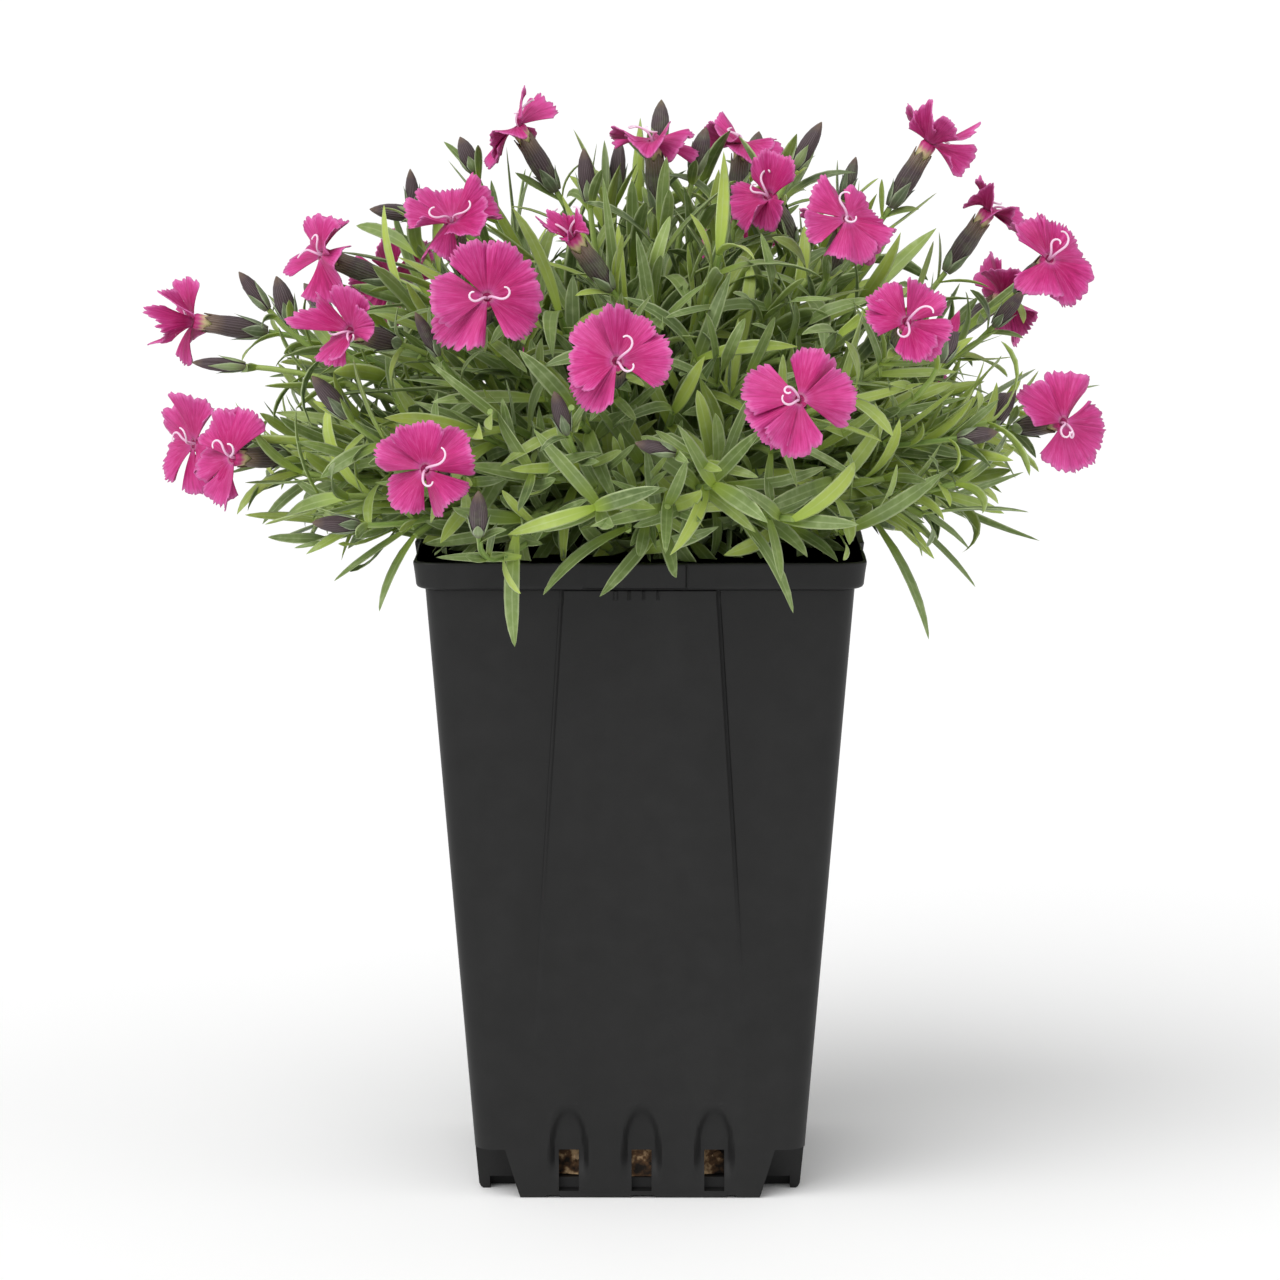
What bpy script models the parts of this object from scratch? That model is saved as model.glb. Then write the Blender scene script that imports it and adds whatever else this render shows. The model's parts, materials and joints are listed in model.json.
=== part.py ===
"""A dianthus in full bloom, standing in its square black nursery pot.

Metres, +Z up. The origin is on the surface that the pot stands on, under the
middle of the pot. -Y is the side that the plant shows best. The pieces are the
pot, the root ball, the green plant with its closed buds, and a bloom and a
calyx at the end of each flowering stem.
"""
import math
import random

import bmesh
import bpy
from mathutils import Matrix, Vector
from mathutils.bvhtree import BVHTree

MM = 0.001
GAP = 0.3 * MM
SEED = 26
BLOOM_DRAWS, BLOOM_STEM_DRAWS, BUD_DRAWS, SHOOT_DRAWS = 1, 2, 3, 4

# Pot: outer sizes. A half is half the width across the flats.
POT_HEIGHT = 168.5 * MM
BODY_HALF_AT_FOOT = 41.9 * MM
BODY_TAPER = 0.0779
BODY_CORNER = 5.5 * MM
WALL = 0.9 * MM
COLLAR_HEIGHT = 7.0 * MM
COLLAR_HALF_LOW = 56.7 * MM
COLLAR_HALF_TOP = 57.5 * MM
COLLAR_CORNER = 6.5 * MM
CORNER_STEPS = 3

# Pot: foot, floor and drain openings.
FOOT_ROUND = 1.5 * MM
FOOT_LIP = 1.6 * MM
FLOOR_UNDERSIDE = 3.5 * MM
FLOOR_TOP = 4.5 * MM
NOTCH_HEIGHT = 13.2 * MM
NOTCH_START_TOP = 35.0 * MM
NOTCH_START_FOOT = 30.5 * MM
WINDOW_CENTRES = (-18.5 * MM, 0.4 * MM, 19.3 * MM)
WINDOW_WIDTH = 5.2 * MM
WINDOW_BOTTOM = 2.0 * MM
WINDOW_TOP = 12.7 * MM
SCALLOP_HALF_WIDTH = 4.6 * MM
SCALLOP_TOP = 26.5 * MM
SCALLOP_DEPTH = 2.1 * MM
# Levels of a scallop: shares of its height, of its width and of its depth.
SCALLOP_LEVELS = ((0.0, 1.0, 1.0), (0.62, 0.84, 0.62), (1.0, 0.25, 0.12))

# Pot: the panel that stands proud of each side, and the pad on the collar.
PANEL_TOP_HALF = 19.2 * MM
PANEL_FOOT_HALF = 26.4 * MM
PANEL_FOOT = 45.0 * MM
PANEL_PROUD = 0.9 * MM
PANEL_EDGE = 0.8 * MM
RAISED_ROOT = 0.5 * MM
PAD_LEFT = -13.0 * MM
PAD_RIGHT = 11.5 * MM
PAD_PROUD = 1.2 * MM
PAD_EDGE = 1.0 * MM

# Root ball.
SOIL_LOW_HALF = 37.5 * MM
SOIL_LOW_CORNER = 28.0 * MM
SOIL_TOP = 158.0 * MM
SOIL_MOUND = 2.0 * MM
SOIL_LUMP = 0.7 * MM
HOLE_RADIUS = 10.0 * MM
HOLE_DEPTH = 20.0 * MM
CROWN_SIDES = 10

# Bloom, in its own frame: it faces +Z and its throat is at the origin.
PETALS = 5
PETAL_THICK = 0.7 * MM
BLOOM_RADIUS = 13.6 * MM
HUB_RADIUS = 2.4 * MM
HUB_HALF_ANGLE = 30.0
THROAT_DEPTH = 1.0 * MM
NECK_LENGTH = 3.0 * MM
NECK_RADIUS = 1.9 * MM
PINWHEEL = 0.10
# Points of a petal's edge, from one side to the other: angle from the petal's
# middle in degrees, and share of the bloom's radius.
PETAL_EDGE = ((-34, 0.84), (-26, 0.99), (-15, 0.91), (-2, 1.03), (11, 0.92), (24, 1.00), (34, 0.82))

# Calyx, bud, stems and leaves.
CALYX_LENGTH = 16.5 * MM
CALYX_SIDES = 5
CALYX_RINGS = ((0.0, 2.5 * MM), (0.55, 2.9 * MM), (1.0, 1.5 * MM))
BUD_SIDES = 4
BUD_RINGS = ((0.0, 1.3 * MM), (0.35, 2.7 * MM), (0.75, 1.9 * MM))
STEM_RADIUS = 0.9 * MM
STEM_SIDES = 3
SHOOT_RADIUS = 1.0 * MM
LEAF_KEEL = 0.8 * MM
LONG_LEAF_RINGS = ((0.30, 0.95), (0.58, 1.0), (0.82, 0.66))
LEAF_RINGS = ((0.30, 0.95), (0.68, 0.85))
ROOT_SUNK = 0.7 * MM
CLEARANCE = 0.5 * MM

# Each bloom: the place of its throat in millimetres, the way it faces, how far
# its petals rise from flat in degrees, and its size as a share of a full one.
BLOOMS = (
    ((-31.7, -10.0, 276.0), (-0.50, -0.20, 0.84), 12, 0.92),
    ((3.3, -15.0, 272.5), (-0.08, -0.35, 0.93), 10, 0.95),
    ((27.1, 25.0, 270.0), (0.10, 0.10, 0.98), 15, 0.90),
    ((33.0, -18.0, 258.5), (-0.35, -0.70, 0.62), 30, 0.86),
    ((52.3, -42.0, 254.0), (0.20, -0.66, 0.72), 8, 0.92),
    ((75.5, 0.0, 271.5), (0.50, -0.15, 0.84), 18, 0.95),
    ((92.0, 14.0, 253.0), (0.55, -0.15, 0.82), 35, 0.84),
    ((106.0, -12.0, 242.0), (0.35, -0.80, 0.48), 6, 0.98),
    ((65.7, -75.0, 230.7), (0.05, -0.92, 0.38), 10, 0.86),
    ((38.8, -93.0, 213.3), (0.10, -0.94, 0.30), 2, 1.02),
    ((108.5, -30.0, 201.4), (0.55, -0.82, 0.15), 6, 1.00),
    ((-5.6, -93.0, 222.6), (0.05, -0.93, 0.36), 4, 1.00),
    ((-37.6, -75.0, 236.8), (0.10, -0.92, 0.38), 0, 1.06),
    ((-47.3, -47.0, 254.0), (-0.15, -0.62, 0.77), 14, 0.90),
    ((-72.3, -60.0, 227.2), (-0.55, -0.80, 0.22), 38, 0.90),
    ((-82.0, -20.0, 243.5), (-0.88, -0.30, 0.36), 14, 0.92),
    ((-117.0, 0.0, 225.0), (-0.96, -0.20, 0.16), 32, 0.96),
    ((-117.0, -3.0, 192.9), (-0.86, -0.50, 0.06), 12, 0.98),
    ((-104.0, -38.0, 193.0), (-0.66, -0.74, 0.06), 8, 1.00),
    ((-52.5, -88.0, 195.7), (-0.20, -0.95, 0.22), 10, 0.96),
    ((-17.2, -60.0, 251.0), (-0.50, -0.50, 0.70), 62, 0.62),
    ((-68.0, 64.0, 232.0), (-0.52, 0.78, 0.35), 8, 0.98),
    ((-22.0, 93.0, 214.0), (-0.15, 0.93, 0.32), 4, 1.02),
    ((27.0, 82.0, 238.0), (0.15, 0.84, 0.52), 12, 0.95),
    ((74.0, 66.0, 212.0), (0.58, 0.77, 0.25), 2, 1.00),
    ((98.0, 44.0, 228.0), (0.72, 0.50, 0.48), 10, 0.94),
)

# Each closed bud: the place of its foot in millimetres and the way it points.
BUDS = (
    ((-97.0, -8.0, 229.0), (-0.60, -0.10, 0.80)),
    ((-92.0, 8.0, 224.0), (-0.30, 0.10, 0.95)),
    ((-58.5, -8.0, 253.0), (-0.08, -0.10, 1.00)),
    ((-58.0, 3.0, 252.5), (-1.00, -0.05, 0.12)),
    ((-43.5, 6.0, 264.0), (-0.38, 0.00, 0.92)),
    ((-74.0, -50.0, 205.0), (-0.62, -0.20, 0.76)),
    ((-103.0, -10.0, 214.0), (-0.98, -0.10, 0.08)),
    ((-50.5, -64.0, 222.0), (-0.35, -0.55, 0.76)),
    ((-39.5, -90.0, 180.0), (0.02, -0.50, 0.87)),
    ((-13.0, -28.0, 258.0), (-0.10, -0.15, 0.98)),
    ((5.0, 8.0, 270.0), (0.05, 0.15, 0.98)),
    ((-6.5, 8.0, 257.0), (0.08, 0.10, 0.98)),
    ((14.0, -8.0, 264.0), (0.25, -0.10, 0.96)),
    ((40.5, 2.0, 265.0), (0.50, -0.05, 0.86)),
    ((54.0, 20.0, 256.0), (0.28, 0.05, 0.95)),
    ((-18.0, -88.0, 205.0), (-0.20, -0.62, 0.76)),
    ((8.0, -89.0, 200.0), (-0.80, -0.55, 0.25)),
    ((90.0, -26.0, 200.0), (0.50, -0.35, 0.78)),
    ((81.0, -46.0, 199.0), (0.92, -0.35, 0.18)),
    ((76.0, -48.0, 219.0), (0.30, -0.25, 0.92)),
    ((93.0, 0.0, 224.0), (0.55, -0.40, 0.72)),
    ((-71.0, -56.0, 178.0), (-0.90, -0.42, 0.10)),
    ((-33.0, -44.0, 228.0), (0.42, -0.50, 0.76)),
    ((2.0, 72.0, 236.0), (0.02, 0.60, 0.80)),
    ((52.0, 60.0, 236.0), (0.35, 0.50, 0.79)),
    ((-84.0, 48.0, 222.0), (-0.60, 0.35, 0.72)),
    ((92.0, 54.0, 196.0), (0.75, 0.55, 0.35)),
    ((30.0, 46.0, 262.0), (0.20, 0.25, 0.95)),
)
BUD_LENGTH = 14.0 * MM

# The long leaves that hang over the rim: foot, tip, and width in millimetres.
LONG_LEAVES = (
    ((-31.0, -66.0, 176.0), (-31.2, -73.0, 149.6), 3.8),
    ((-3.0, -66.0, 178.0), (-24.0, -76.0, 163.0), 4.2),
    ((22.0, -70.0, 184.0), (38.0, -76.0, 158.5), 3.8),
    ((60.0, -34.0, 176.0), (73.5, -46.0, 147.5), 4.0),
    ((66.0, -24.0, 178.0), (86.0, -36.0, 159.5), 3.6),
    ((72.0, -40.0, 178.5), (98.0, -54.0, 181.0), 4.0),
    ((-57.0, -46.0, 174.0), (-66.0, -52.0, 155.5), 3.4),
    ((-58.0, -44.0, 176.0), (-77.0, -58.0, 164.0), 3.6),
    ((-20.0, 66.0, 178.0), (-30.0, 76.0, 156.0), 3.8),
    ((24.0, 66.0, 178.0), (30.0, 74.0, 152.0), 3.8),
    ((62.0, 40.0, 176.0), (80.0, 52.0, 162.0), 3.6),
    ((-62.0, 34.0, 176.0), (-78.0, 48.0, 160.0), 3.6),
    ((97.0, 24.0, 197.0), (124.0, 34.0, 205.0), 3.6),
)

# Plant: the crown that the stems grow from, and the dome that they fill.
CROWN_RINGS = (
    (138.4 * MM, 9.6 * MM),
    (162.0 * MM, 9.6 * MM),
    (164.6 * MM, 26.0 * MM),
    (176.0 * MM, 37.0 * MM),
    (192.0 * MM, 34.0 * MM),
    (204.0 * MM, 18.0 * MM),
)
CROWN_CENTRE = Vector((0.0, 0.0, 178.0 * MM))
CROWN_SPREAD = 0.20
STEM_TRIES = 24
STEM_STRAY = 0.025
STEM_RISE = 0.35
START_PULL = 0.36
END_PULL = 0.30

# Leaf pairs along each kind of stem, as shares of its length, the angles in
# degrees at which they stand off, and their size.
BLOOM_STEM_LEAVES = {"nodes": (0.55, 0.82), "spread": (22, 48), "scale": 0.85}
BUD_STEM_LEAVES = {"nodes": (0.66,), "spread": (22, 48), "scale": 0.85}
SHOOT_LEAVES = {"nodes": (0.52, 0.78, 0.97), "spread": (16, 42), "scale": 1.0}
DOME_RADIUS = 103.0 * MM
DOME_HEIGHT = 96.0 * MM
SHOOTS = 19
SHOOT_LOWEST = -2.0
SHOOT_HIGHEST = 86.0
SHOOT_REACH = (0.74, 0.90)
GOLDEN_ANGLE = 137.508
LEAF_TRIES = 7
LEAVES_WITHIN = (124.0 * MM, 101.0 * MM)
HANGING_WITHIN = (76.0 * MM, 171.0 * MM)
LEAF_LENGTHS = (21.0 * MM, 31.0 * MM)
LEAF_WIDTHS = (2.6 * MM, 3.4 * MM)
LEAF_BENDS = (-0.25, 0.65)
LEAF_ROOT_SUNK = 0.2 * MM

COLOURS = {
    "moulded_black": ((0.032, 0.032, 0.032), 0.55),
    "peat": ((0.085, 0.055, 0.032), 0.95),
    "leaf_green": ((0.145, 0.225, 0.075), 0.60),
    "petal_pink": ((0.580, 0.034, 0.205), 0.70),
    "calyx_purple": ((0.070, 0.045, 0.048), 0.60),
}


def clear_scene():
    for item in list(bpy.data.objects):
        bpy.data.objects.remove(item)


def new_collection(name):
    group = bpy.data.collections.new(name)
    bpy.context.scene.collection.children.link(group)
    return group


def new_material(name):
    colour, roughness = COLOURS[name]
    material = bpy.data.materials.new(name)
    material.use_nodes = True
    shader = material.node_tree.nodes["Principled BSDF"]
    shader.inputs["Base Color"].default_value = (*colour, 1.0)
    shader.inputs["Roughness"].default_value = roughness
    shader.inputs["Metallic"].default_value = 0.0
    material.diffuse_color = (*colour, 1.0)
    return material


def add_object(name, solid, group, material=None):
    """Makes an object of a solid, which is a list of points and a list of faces."""
    points, faces = solid
    mesh = bpy.data.meshes.new(name)
    mesh.from_pydata(points, [], faces)
    shell = bmesh.new()
    shell.from_mesh(mesh)
    bmesh.ops.recalc_face_normals(shell, faces=shell.faces)
    shell.to_mesh(mesh)
    shell.free()
    if material:
        mesh.materials.append(material)
    item = bpy.data.objects.new(name, mesh)
    group.objects.link(item)
    return item


def as_guide(item):
    item.hide_render = True
    item.display_type = "WIRE"
    return item


def boolean(item, operation, group, solver="EXACT"):
    modifier = item.modifiers.new(operation.lower(), "BOOLEAN")
    modifier.operation = operation
    modifier.operand_type = "COLLECTION"
    modifier.collection = group
    modifier.solver = solver
    return modifier


def apply_modifiers(item):
    """Keeps what the modifiers make as the object's own mesh."""
    bpy.context.view_layer.update()
    graph = bpy.context.evaluated_depsgraph_get()
    mesh = bpy.data.meshes.new_from_object(item.evaluated_get(graph))
    item.modifiers.clear()
    item.data = mesh


def remove_group(group):
    for item in list(group.objects):
        bpy.data.objects.remove(item)
    bpy.data.collections.remove(group)


def loft(rings):
    """A closed solid through rings of equally many points, capped at both ends."""
    count = len(rings[0])
    points = [point for ring in rings for point in ring]
    faces = [list(range(count))]
    for level in range(len(rings) - 1):
        low, high = level * count, (level + 1) * count
        for i in range(count):
            j = (i + 1) % count
            faces.append((low + i, low + j, high + j, high + i))
    faces.append(list(range(len(points) - count, len(points))))
    return points, faces


def rounded_square(half, corner, z, steps=CORNER_STEPS):
    """A ring round a square with rounded corners, one point for each corner step."""
    ring = []
    for quarter in range(4):
        middle = math.radians(90 * quarter + 45)
        cx = (half - corner) * math.copysign(1, math.cos(middle))
        cy = (half - corner) * math.copysign(1, math.sin(middle))
        for step in range(steps + 1):
            angle = math.radians(90 * quarter + 90 * step / steps)
            ring.append(Vector((cx + corner * math.cos(angle), cy + corner * math.sin(angle), z)))
    return ring


def circle(radius, z, sides, turn=0.0):
    ring = []
    for i in range(sides):
        angle = turn + math.tau * i / sides
        ring.append(Vector((radius * math.cos(angle), radius * math.sin(angle), z)))
    return ring


def body_half(z):
    """Half the width of the pot's outer wall at a height."""
    return BODY_HALF_AT_FOOT + BODY_TAPER * z


def turned(solid, quarter):
    """The same solid on another of the four sides."""
    points, faces = solid
    turn = Matrix.Rotation(math.radians(90 * quarter), 3, "Z")
    return [turn @ point for point in points], faces


def block(x_low, x_high, y_low, y_high, z_low, z_high):
    """A box between two corners."""
    rings = []
    for z in (z_low, z_high):
        ring = [(x_low, y_low, z), (x_high, y_low, z), (x_high, y_high, z), (x_low, y_high, z)]
        rings.append([Vector(point) for point in ring])
    return loft(rings)


def pot_outside():
    collar_foot = POT_HEIGHT - COLLAR_HEIGHT
    profile = (
        (0.0, body_half(0.0) - 1.0 * MM, BODY_CORNER),
        (FOOT_ROUND, body_half(FOOT_ROUND), BODY_CORNER),
        (collar_foot - 0.4 * MM, body_half(collar_foot), BODY_CORNER),
        (collar_foot + 0.1 * MM, body_half(collar_foot) + 1.3 * MM, COLLAR_CORNER),
        (collar_foot + 1.4 * MM, COLLAR_HALF_LOW, COLLAR_CORNER),
        (POT_HEIGHT - 0.4 * MM, COLLAR_HALF_TOP, COLLAR_CORNER),
        (POT_HEIGHT, COLLAR_HALF_TOP - 0.3 * MM, COLLAR_CORNER),
    )
    return loft([rounded_square(half, corner, z) for z, half, corner in profile])


def pot_inside():
    collar_foot = POT_HEIGHT - COLLAR_HEIGHT
    inner_corner = BODY_CORNER - WALL
    thick = WALL + SCALLOP_DEPTH
    step = SCALLOP_TOP + 0.5 * MM
    profile = (
        (FLOOR_TOP, body_half(FLOOR_TOP) - thick, inner_corner),
        (step, body_half(step) - thick, inner_corner),
        (step + 1.5 * MM, body_half(step + 1.5 * MM) - WALL, inner_corner),
        (collar_foot + 0.3 * MM, body_half(collar_foot) - WALL, inner_corner),
        (collar_foot + 1.6 * MM, COLLAR_HALF_LOW - WALL, COLLAR_CORNER - WALL),
        (POT_HEIGHT + 1.0 * MM, COLLAR_HALF_TOP - WALL, COLLAR_CORNER - WALL),
    )
    return loft([rounded_square(half, corner, z) for z, half, corner in profile])


def corner_notch(grow):
    """The block that is missing from a corner of the foot, or that block grown by a wall."""
    far = 60.0 * MM
    rings = []
    for z, start in ((-2.0 * MM, NOTCH_START_FOOT), (NOTCH_HEIGHT + grow, NOTCH_START_TOP)):
        near = start - grow
        ring = [(near, near, z), (far, near, z), (far, far, z), (near, far, z)]
        rings.append([Vector(point) for point in ring])
    return loft(rings)


def scallop(centre):
    """The arched hollow above a drain window, which leans into the wall."""
    foot = WINDOW_TOP - 2.0 * MM
    rings = []
    for rise, wide, deep in SCALLOP_LEVELS:
        z = foot + rise * (SCALLOP_TOP - foot)
        wall = -body_half(z)
        width = SCALLOP_HALF_WIDTH * wide
        ring = [
            (centre - width, wall - 1.0 * MM, z),
            (centre + width, wall - 1.0 * MM, z),
            (centre + 0.6 * width, wall + SCALLOP_DEPTH * deep, z),
            (centre - 0.6 * width, wall + SCALLOP_DEPTH * deep, z),
        ]
        rings.append([Vector(point) for point in ring])
    return loft(rings)


def window(centre):
    half = WINDOW_WIDTH / 2
    outer = -body_half(WINDOW_TOP) - 1.0 * MM
    return block(centre - half, centre + half, outer, outer + 4.6 * MM, WINDOW_BOTTOM, WINDOW_TOP)


def side_panel():
    """The raised middle of a side, which widens downwards and sinks into the wall."""
    rings = []
    for z, half, proud in (
        (PANEL_FOOT, PANEL_FOOT_HALF, -0.15 * MM),
        (POT_HEIGHT - COLLAR_HEIGHT + 0.6 * MM, PANEL_TOP_HALF, PANEL_PROUD),
    ):
        outer = -body_half(z) - proud
        inner = -body_half(z) + RAISED_ROOT
        sunk = half + PANEL_EDGE
        ring = [(-half, outer, z), (half, outer, z), (sunk, inner, z), (-sunk, inner, z)]
        rings.append([Vector(point) for point in ring])
    return loft(rings)


def collar_pad():
    """The pad that stands out from the middle of the collar on each side."""
    rings = []
    low = POT_HEIGHT - COLLAR_HEIGHT + 1.2 * MM
    high = POT_HEIGHT - 0.2 * MM
    for z, half in ((low, COLLAR_HALF_LOW), (high, COLLAR_HALF_TOP)):
        outer = -half - PAD_PROUD
        inner = -half + RAISED_ROOT
        ring = [
            (PAD_LEFT, outer, z),
            (PAD_RIGHT, outer, z),
            (PAD_RIGHT + PAD_EDGE, inner, z),
            (PAD_LEFT - PAD_EDGE, inner, z),
        ]
        rings.append([Vector(point) for point in ring])
    return loft(rings)


def build_pot(parts, cutters, material):
    """The pot: a thin moulded shell on a skirt foot with open corners."""
    added = new_collection("pot_raised")
    filled = new_collection("pot_kept")
    inside = add_object("pot_space", pot_inside(), cutters)
    for quarter in range(4):
        add_object(f"panel_{quarter}", turned(side_panel(), quarter), added)
        add_object(f"pad_{quarter}", turned(collar_pad(), quarter), added)
        add_object(f"corner_{quarter}", turned(corner_notch(WALL), quarter), filled)
        add_object(f"notch_{quarter}", turned(corner_notch(0.0), quarter), cutters)
        for place, centre in enumerate(WINDOW_CENTRES):
            mark = f"{quarter}_{place}"
            add_object(f"scallop_{mark}", turned(scallop(centre), quarter), cutters)
            add_object(f"window_{mark}", turned(window(centre), quarter), cutters)
    boolean(inside, "DIFFERENCE", filled)
    apply_modifiers(inside)
    under = BODY_HALF_AT_FOOT - 1.0 * MM - FOOT_LIP
    hollow = [rounded_square(under, BODY_CORNER, z) for z in (-1.0 * MM, FLOOR_UNDERSIDE)]
    add_object("foot_hollow", loft(hollow), cutters)
    pot = add_object("pot", pot_outside(), parts, material)
    boolean(pot, "UNION", added)
    boolean(pot, "DIFFERENCE", cutters)
    apply_modifiers(pot)
    remove_group(added)
    remove_group(filled)
    for cutter in cutters.objects:
        as_guide(cutter)
    return pot


def soil_height(x, y):
    """The lumpy top of the root ball, a little higher round the crown."""
    reach = math.hypot(x, y) / SOIL_LOW_HALF
    lumps = math.sin(x / (5.1 * MM) + 0.7) * math.cos(y / (6.3 * MM))
    lumps += 0.6 * math.sin((x - y) / (3.7 * MM))
    return SOIL_TOP + SOIL_MOUND * max(0.0, 1.0 - reach) + SOIL_LUMP * lumps


def build_soil(parts, material):
    """The root ball, which fills the pot and has a plain hole for the crown."""
    shoulder = POT_HEIGHT - COLLAR_HEIGHT - 4.0 * MM
    inner = WALL + GAP
    step_end = SCALLOP_TOP + 2.0 * MM + GAP
    notch_end = NOTCH_HEIGHT + WALL + GAP
    corner = BODY_CORNER - WALL
    profile = (
        (FLOOR_TOP + GAP, SOIL_LOW_HALF, SOIL_LOW_CORNER),
        (notch_end, SOIL_LOW_HALF + 0.6 * MM, SOIL_LOW_CORNER),
        (notch_end + 0.8 * MM, SOIL_LOW_HALF + 0.8 * MM, corner),
        (step_end, body_half(SCALLOP_TOP) - SCALLOP_DEPTH - inner, corner),
        (step_end + 2.0 * MM, body_half(step_end) - inner, corner),
        (shoulder - 2.0 * MM, body_half(shoulder - 2.0 * MM) - inner, corner),
    )
    rings = [rounded_square(half, radius, z) for z, half, radius in profile]
    edge = rings[-1]
    hole = circle(HOLE_RADIUS, 0.0, len(edge), math.radians(45 / len(edge)))
    for share in (0.03, 0.45, 0.98):
        ring = []
        for outer, inner_point in zip(edge, hole):
            x = outer.x + share * (inner_point.x - outer.x)
            y = outer.y + share * (inner_point.y - outer.y)
            ring.append(Vector((x, y, soil_height(x, y))))
        rings.append(ring)
    hole_floor = SOIL_TOP - HOLE_DEPTH
    rings.append([Vector((point.x, point.y, SOIL_TOP)) for point in hole])
    rings.append([Vector((point.x, point.y, hole_floor)) for point in hole])
    return add_object("soil", loft(rings), parts, material)


def facing_frame(place, facing, roll):
    """The matrix that turns +Z to the way a bloom faces and moves it to its place."""
    turn = Vector(facing).normalized().to_track_quat("Z", "Y").to_matrix().to_4x4()
    return Matrix.Translation(Vector(place) * MM) @ turn @ Matrix.Rotation(roll, 4, "Z")


def placed(solid, frame):
    points, faces = solid
    return [frame @ point for point in points], faces


def bloom_solid(rise, size, draw):
    """Five toothed petals, each lapped over the next, on a short neck."""
    radius = BLOOM_RADIUS * size
    points, faces = [], []
    for z in (0.0, -PETAL_THICK):
        for petal in range(PETALS):
            for side in (-1, 1):
                angle = math.radians(360 / PETALS * petal + side * HUB_HALF_ANGLE)
                points.append(Vector((HUB_RADIUS * math.cos(angle), HUB_RADIUS * math.sin(angle), z)))
    ring = 2 * PETALS
    points.extend(circle(NECK_RADIUS, -NECK_LENGTH, PETALS))
    throat = len(points)
    points.append(Vector((0.0, 0.0, -THROAT_DEPTH)))
    for i in range(ring):
        j = (i + 1) % ring
        here, after = 2 * ring + i // 2, 2 * ring + (i // 2 + 1) % PETALS
        faces.append((throat, i, j))
        if i % 2:
            faces.append((i, ring + i, ring + j, j))
            faces.append((ring + i, here, after, ring + j))
        else:
            faces.append((ring + i, here, ring + j))
    faces.append([2 * ring + i for i in range(PETALS)])
    for petal in range(PETALS):
        lift = math.radians(rise + draw.uniform(-7, 7))
        wave = draw.uniform(0.4, 1.0) * MM
        middle = math.radians(360 / PETALS * petal + draw.uniform(-2, 2))
        outwards = Vector((math.cos(middle), math.sin(middle), 0.0))
        under = math.sin(lift) * outwards - math.cos(lift) * Vector((0.0, 0.0, 1.0))
        first = len(points)
        for order, (degrees, share) in enumerate(PETAL_EDGE):
            out = radius * share
            angle = middle + math.radians(degrees)
            flat = HUB_RADIUS + (out - HUB_RADIUS) * math.cos(lift)
            height = (out - HUB_RADIUS) * math.sin(lift)
            height += PINWHEEL * degrees / 36 * out + wave * math.sin(2.1 * order + petal)
            points.append(Vector((flat * math.cos(angle), flat * math.sin(angle), height)))
        count = len(PETAL_EDGE)
        points.extend([point + PETAL_THICK * under for point in points[first:first + count]])
        left, right = 2 * petal, 2 * petal + 1
        top = [first + i for i in range(count)]
        middle_point = top[count // 2]
        fan = [(left, top[i], top[i + 1]) for i in range(count // 2)]
        fan.append((left, middle_point, right))
        fan.extend([(right, top[i], top[i + 1]) for i in range(count // 2, count - 1)])
        edge = [left, *top, right]
        low = {left: ring + left, right: ring + right}
        low.update({index: index + count for index in top})
        for a, b, c in fan:
            faces.append((a, b, c))
            faces.append((low[c], low[b], low[a]))
        for a, b in zip(edge, edge[1:]):
            faces.append((a, b, low[b]))
            faces.append((a, low[b], low[a]))
    return points, faces


def calyx_solid():
    """The tube under a bloom, from its mouth just below the neck down to its foot."""
    mouth = -NECK_LENGTH - GAP
    rings = []
    for share, radius in CALYX_RINGS:
        rings.append(circle(radius, mouth - share * CALYX_LENGTH, CALYX_SIDES))
    return loft(rings)


def bud_solid(length):
    """A closed bud on +Z, with its foot a little below the origin."""
    rings = [circle(radius, share * length - ROOT_SUNK, BUD_SIDES) for share, radius in BUD_RINGS]
    rings.append(circle(0.25 * MM, length, BUD_SIDES))
    return loft(rings)


def bezier(start, start_pull, end_pull, end, t):
    u = 1 - t
    return u ** 3 * start + 3 * u * u * t * start_pull + 3 * u * t * t * end_pull + t ** 3 * end


def route_points(start, start_pull, end_pull, end, count):
    return [bezier(start, start_pull, end_pull, end, i / (count - 1)) for i in range(count)]


def tube(points, radius, sides, taper=0.75):
    """A tube along points, a little thinner at its end."""
    rings = []
    aside = Vector((0.31, 0.47, 0.83))
    for i, point in enumerate(points):
        ahead = (points[min(i + 1, len(points) - 1)] - points[max(i - 1, 0)]).normalized()
        across = (aside - aside.dot(ahead) * ahead).normalized()
        over = ahead.cross(across)
        here = radius * (1 - (1 - taper) * i / (len(points) - 1))
        ring = []
        for side in range(sides):
            angle = math.tau * side / sides
            ring.append(point + here * (math.cos(angle) * across + math.sin(angle) * over))
        rings.append(ring)
    return loft(rings)


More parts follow.
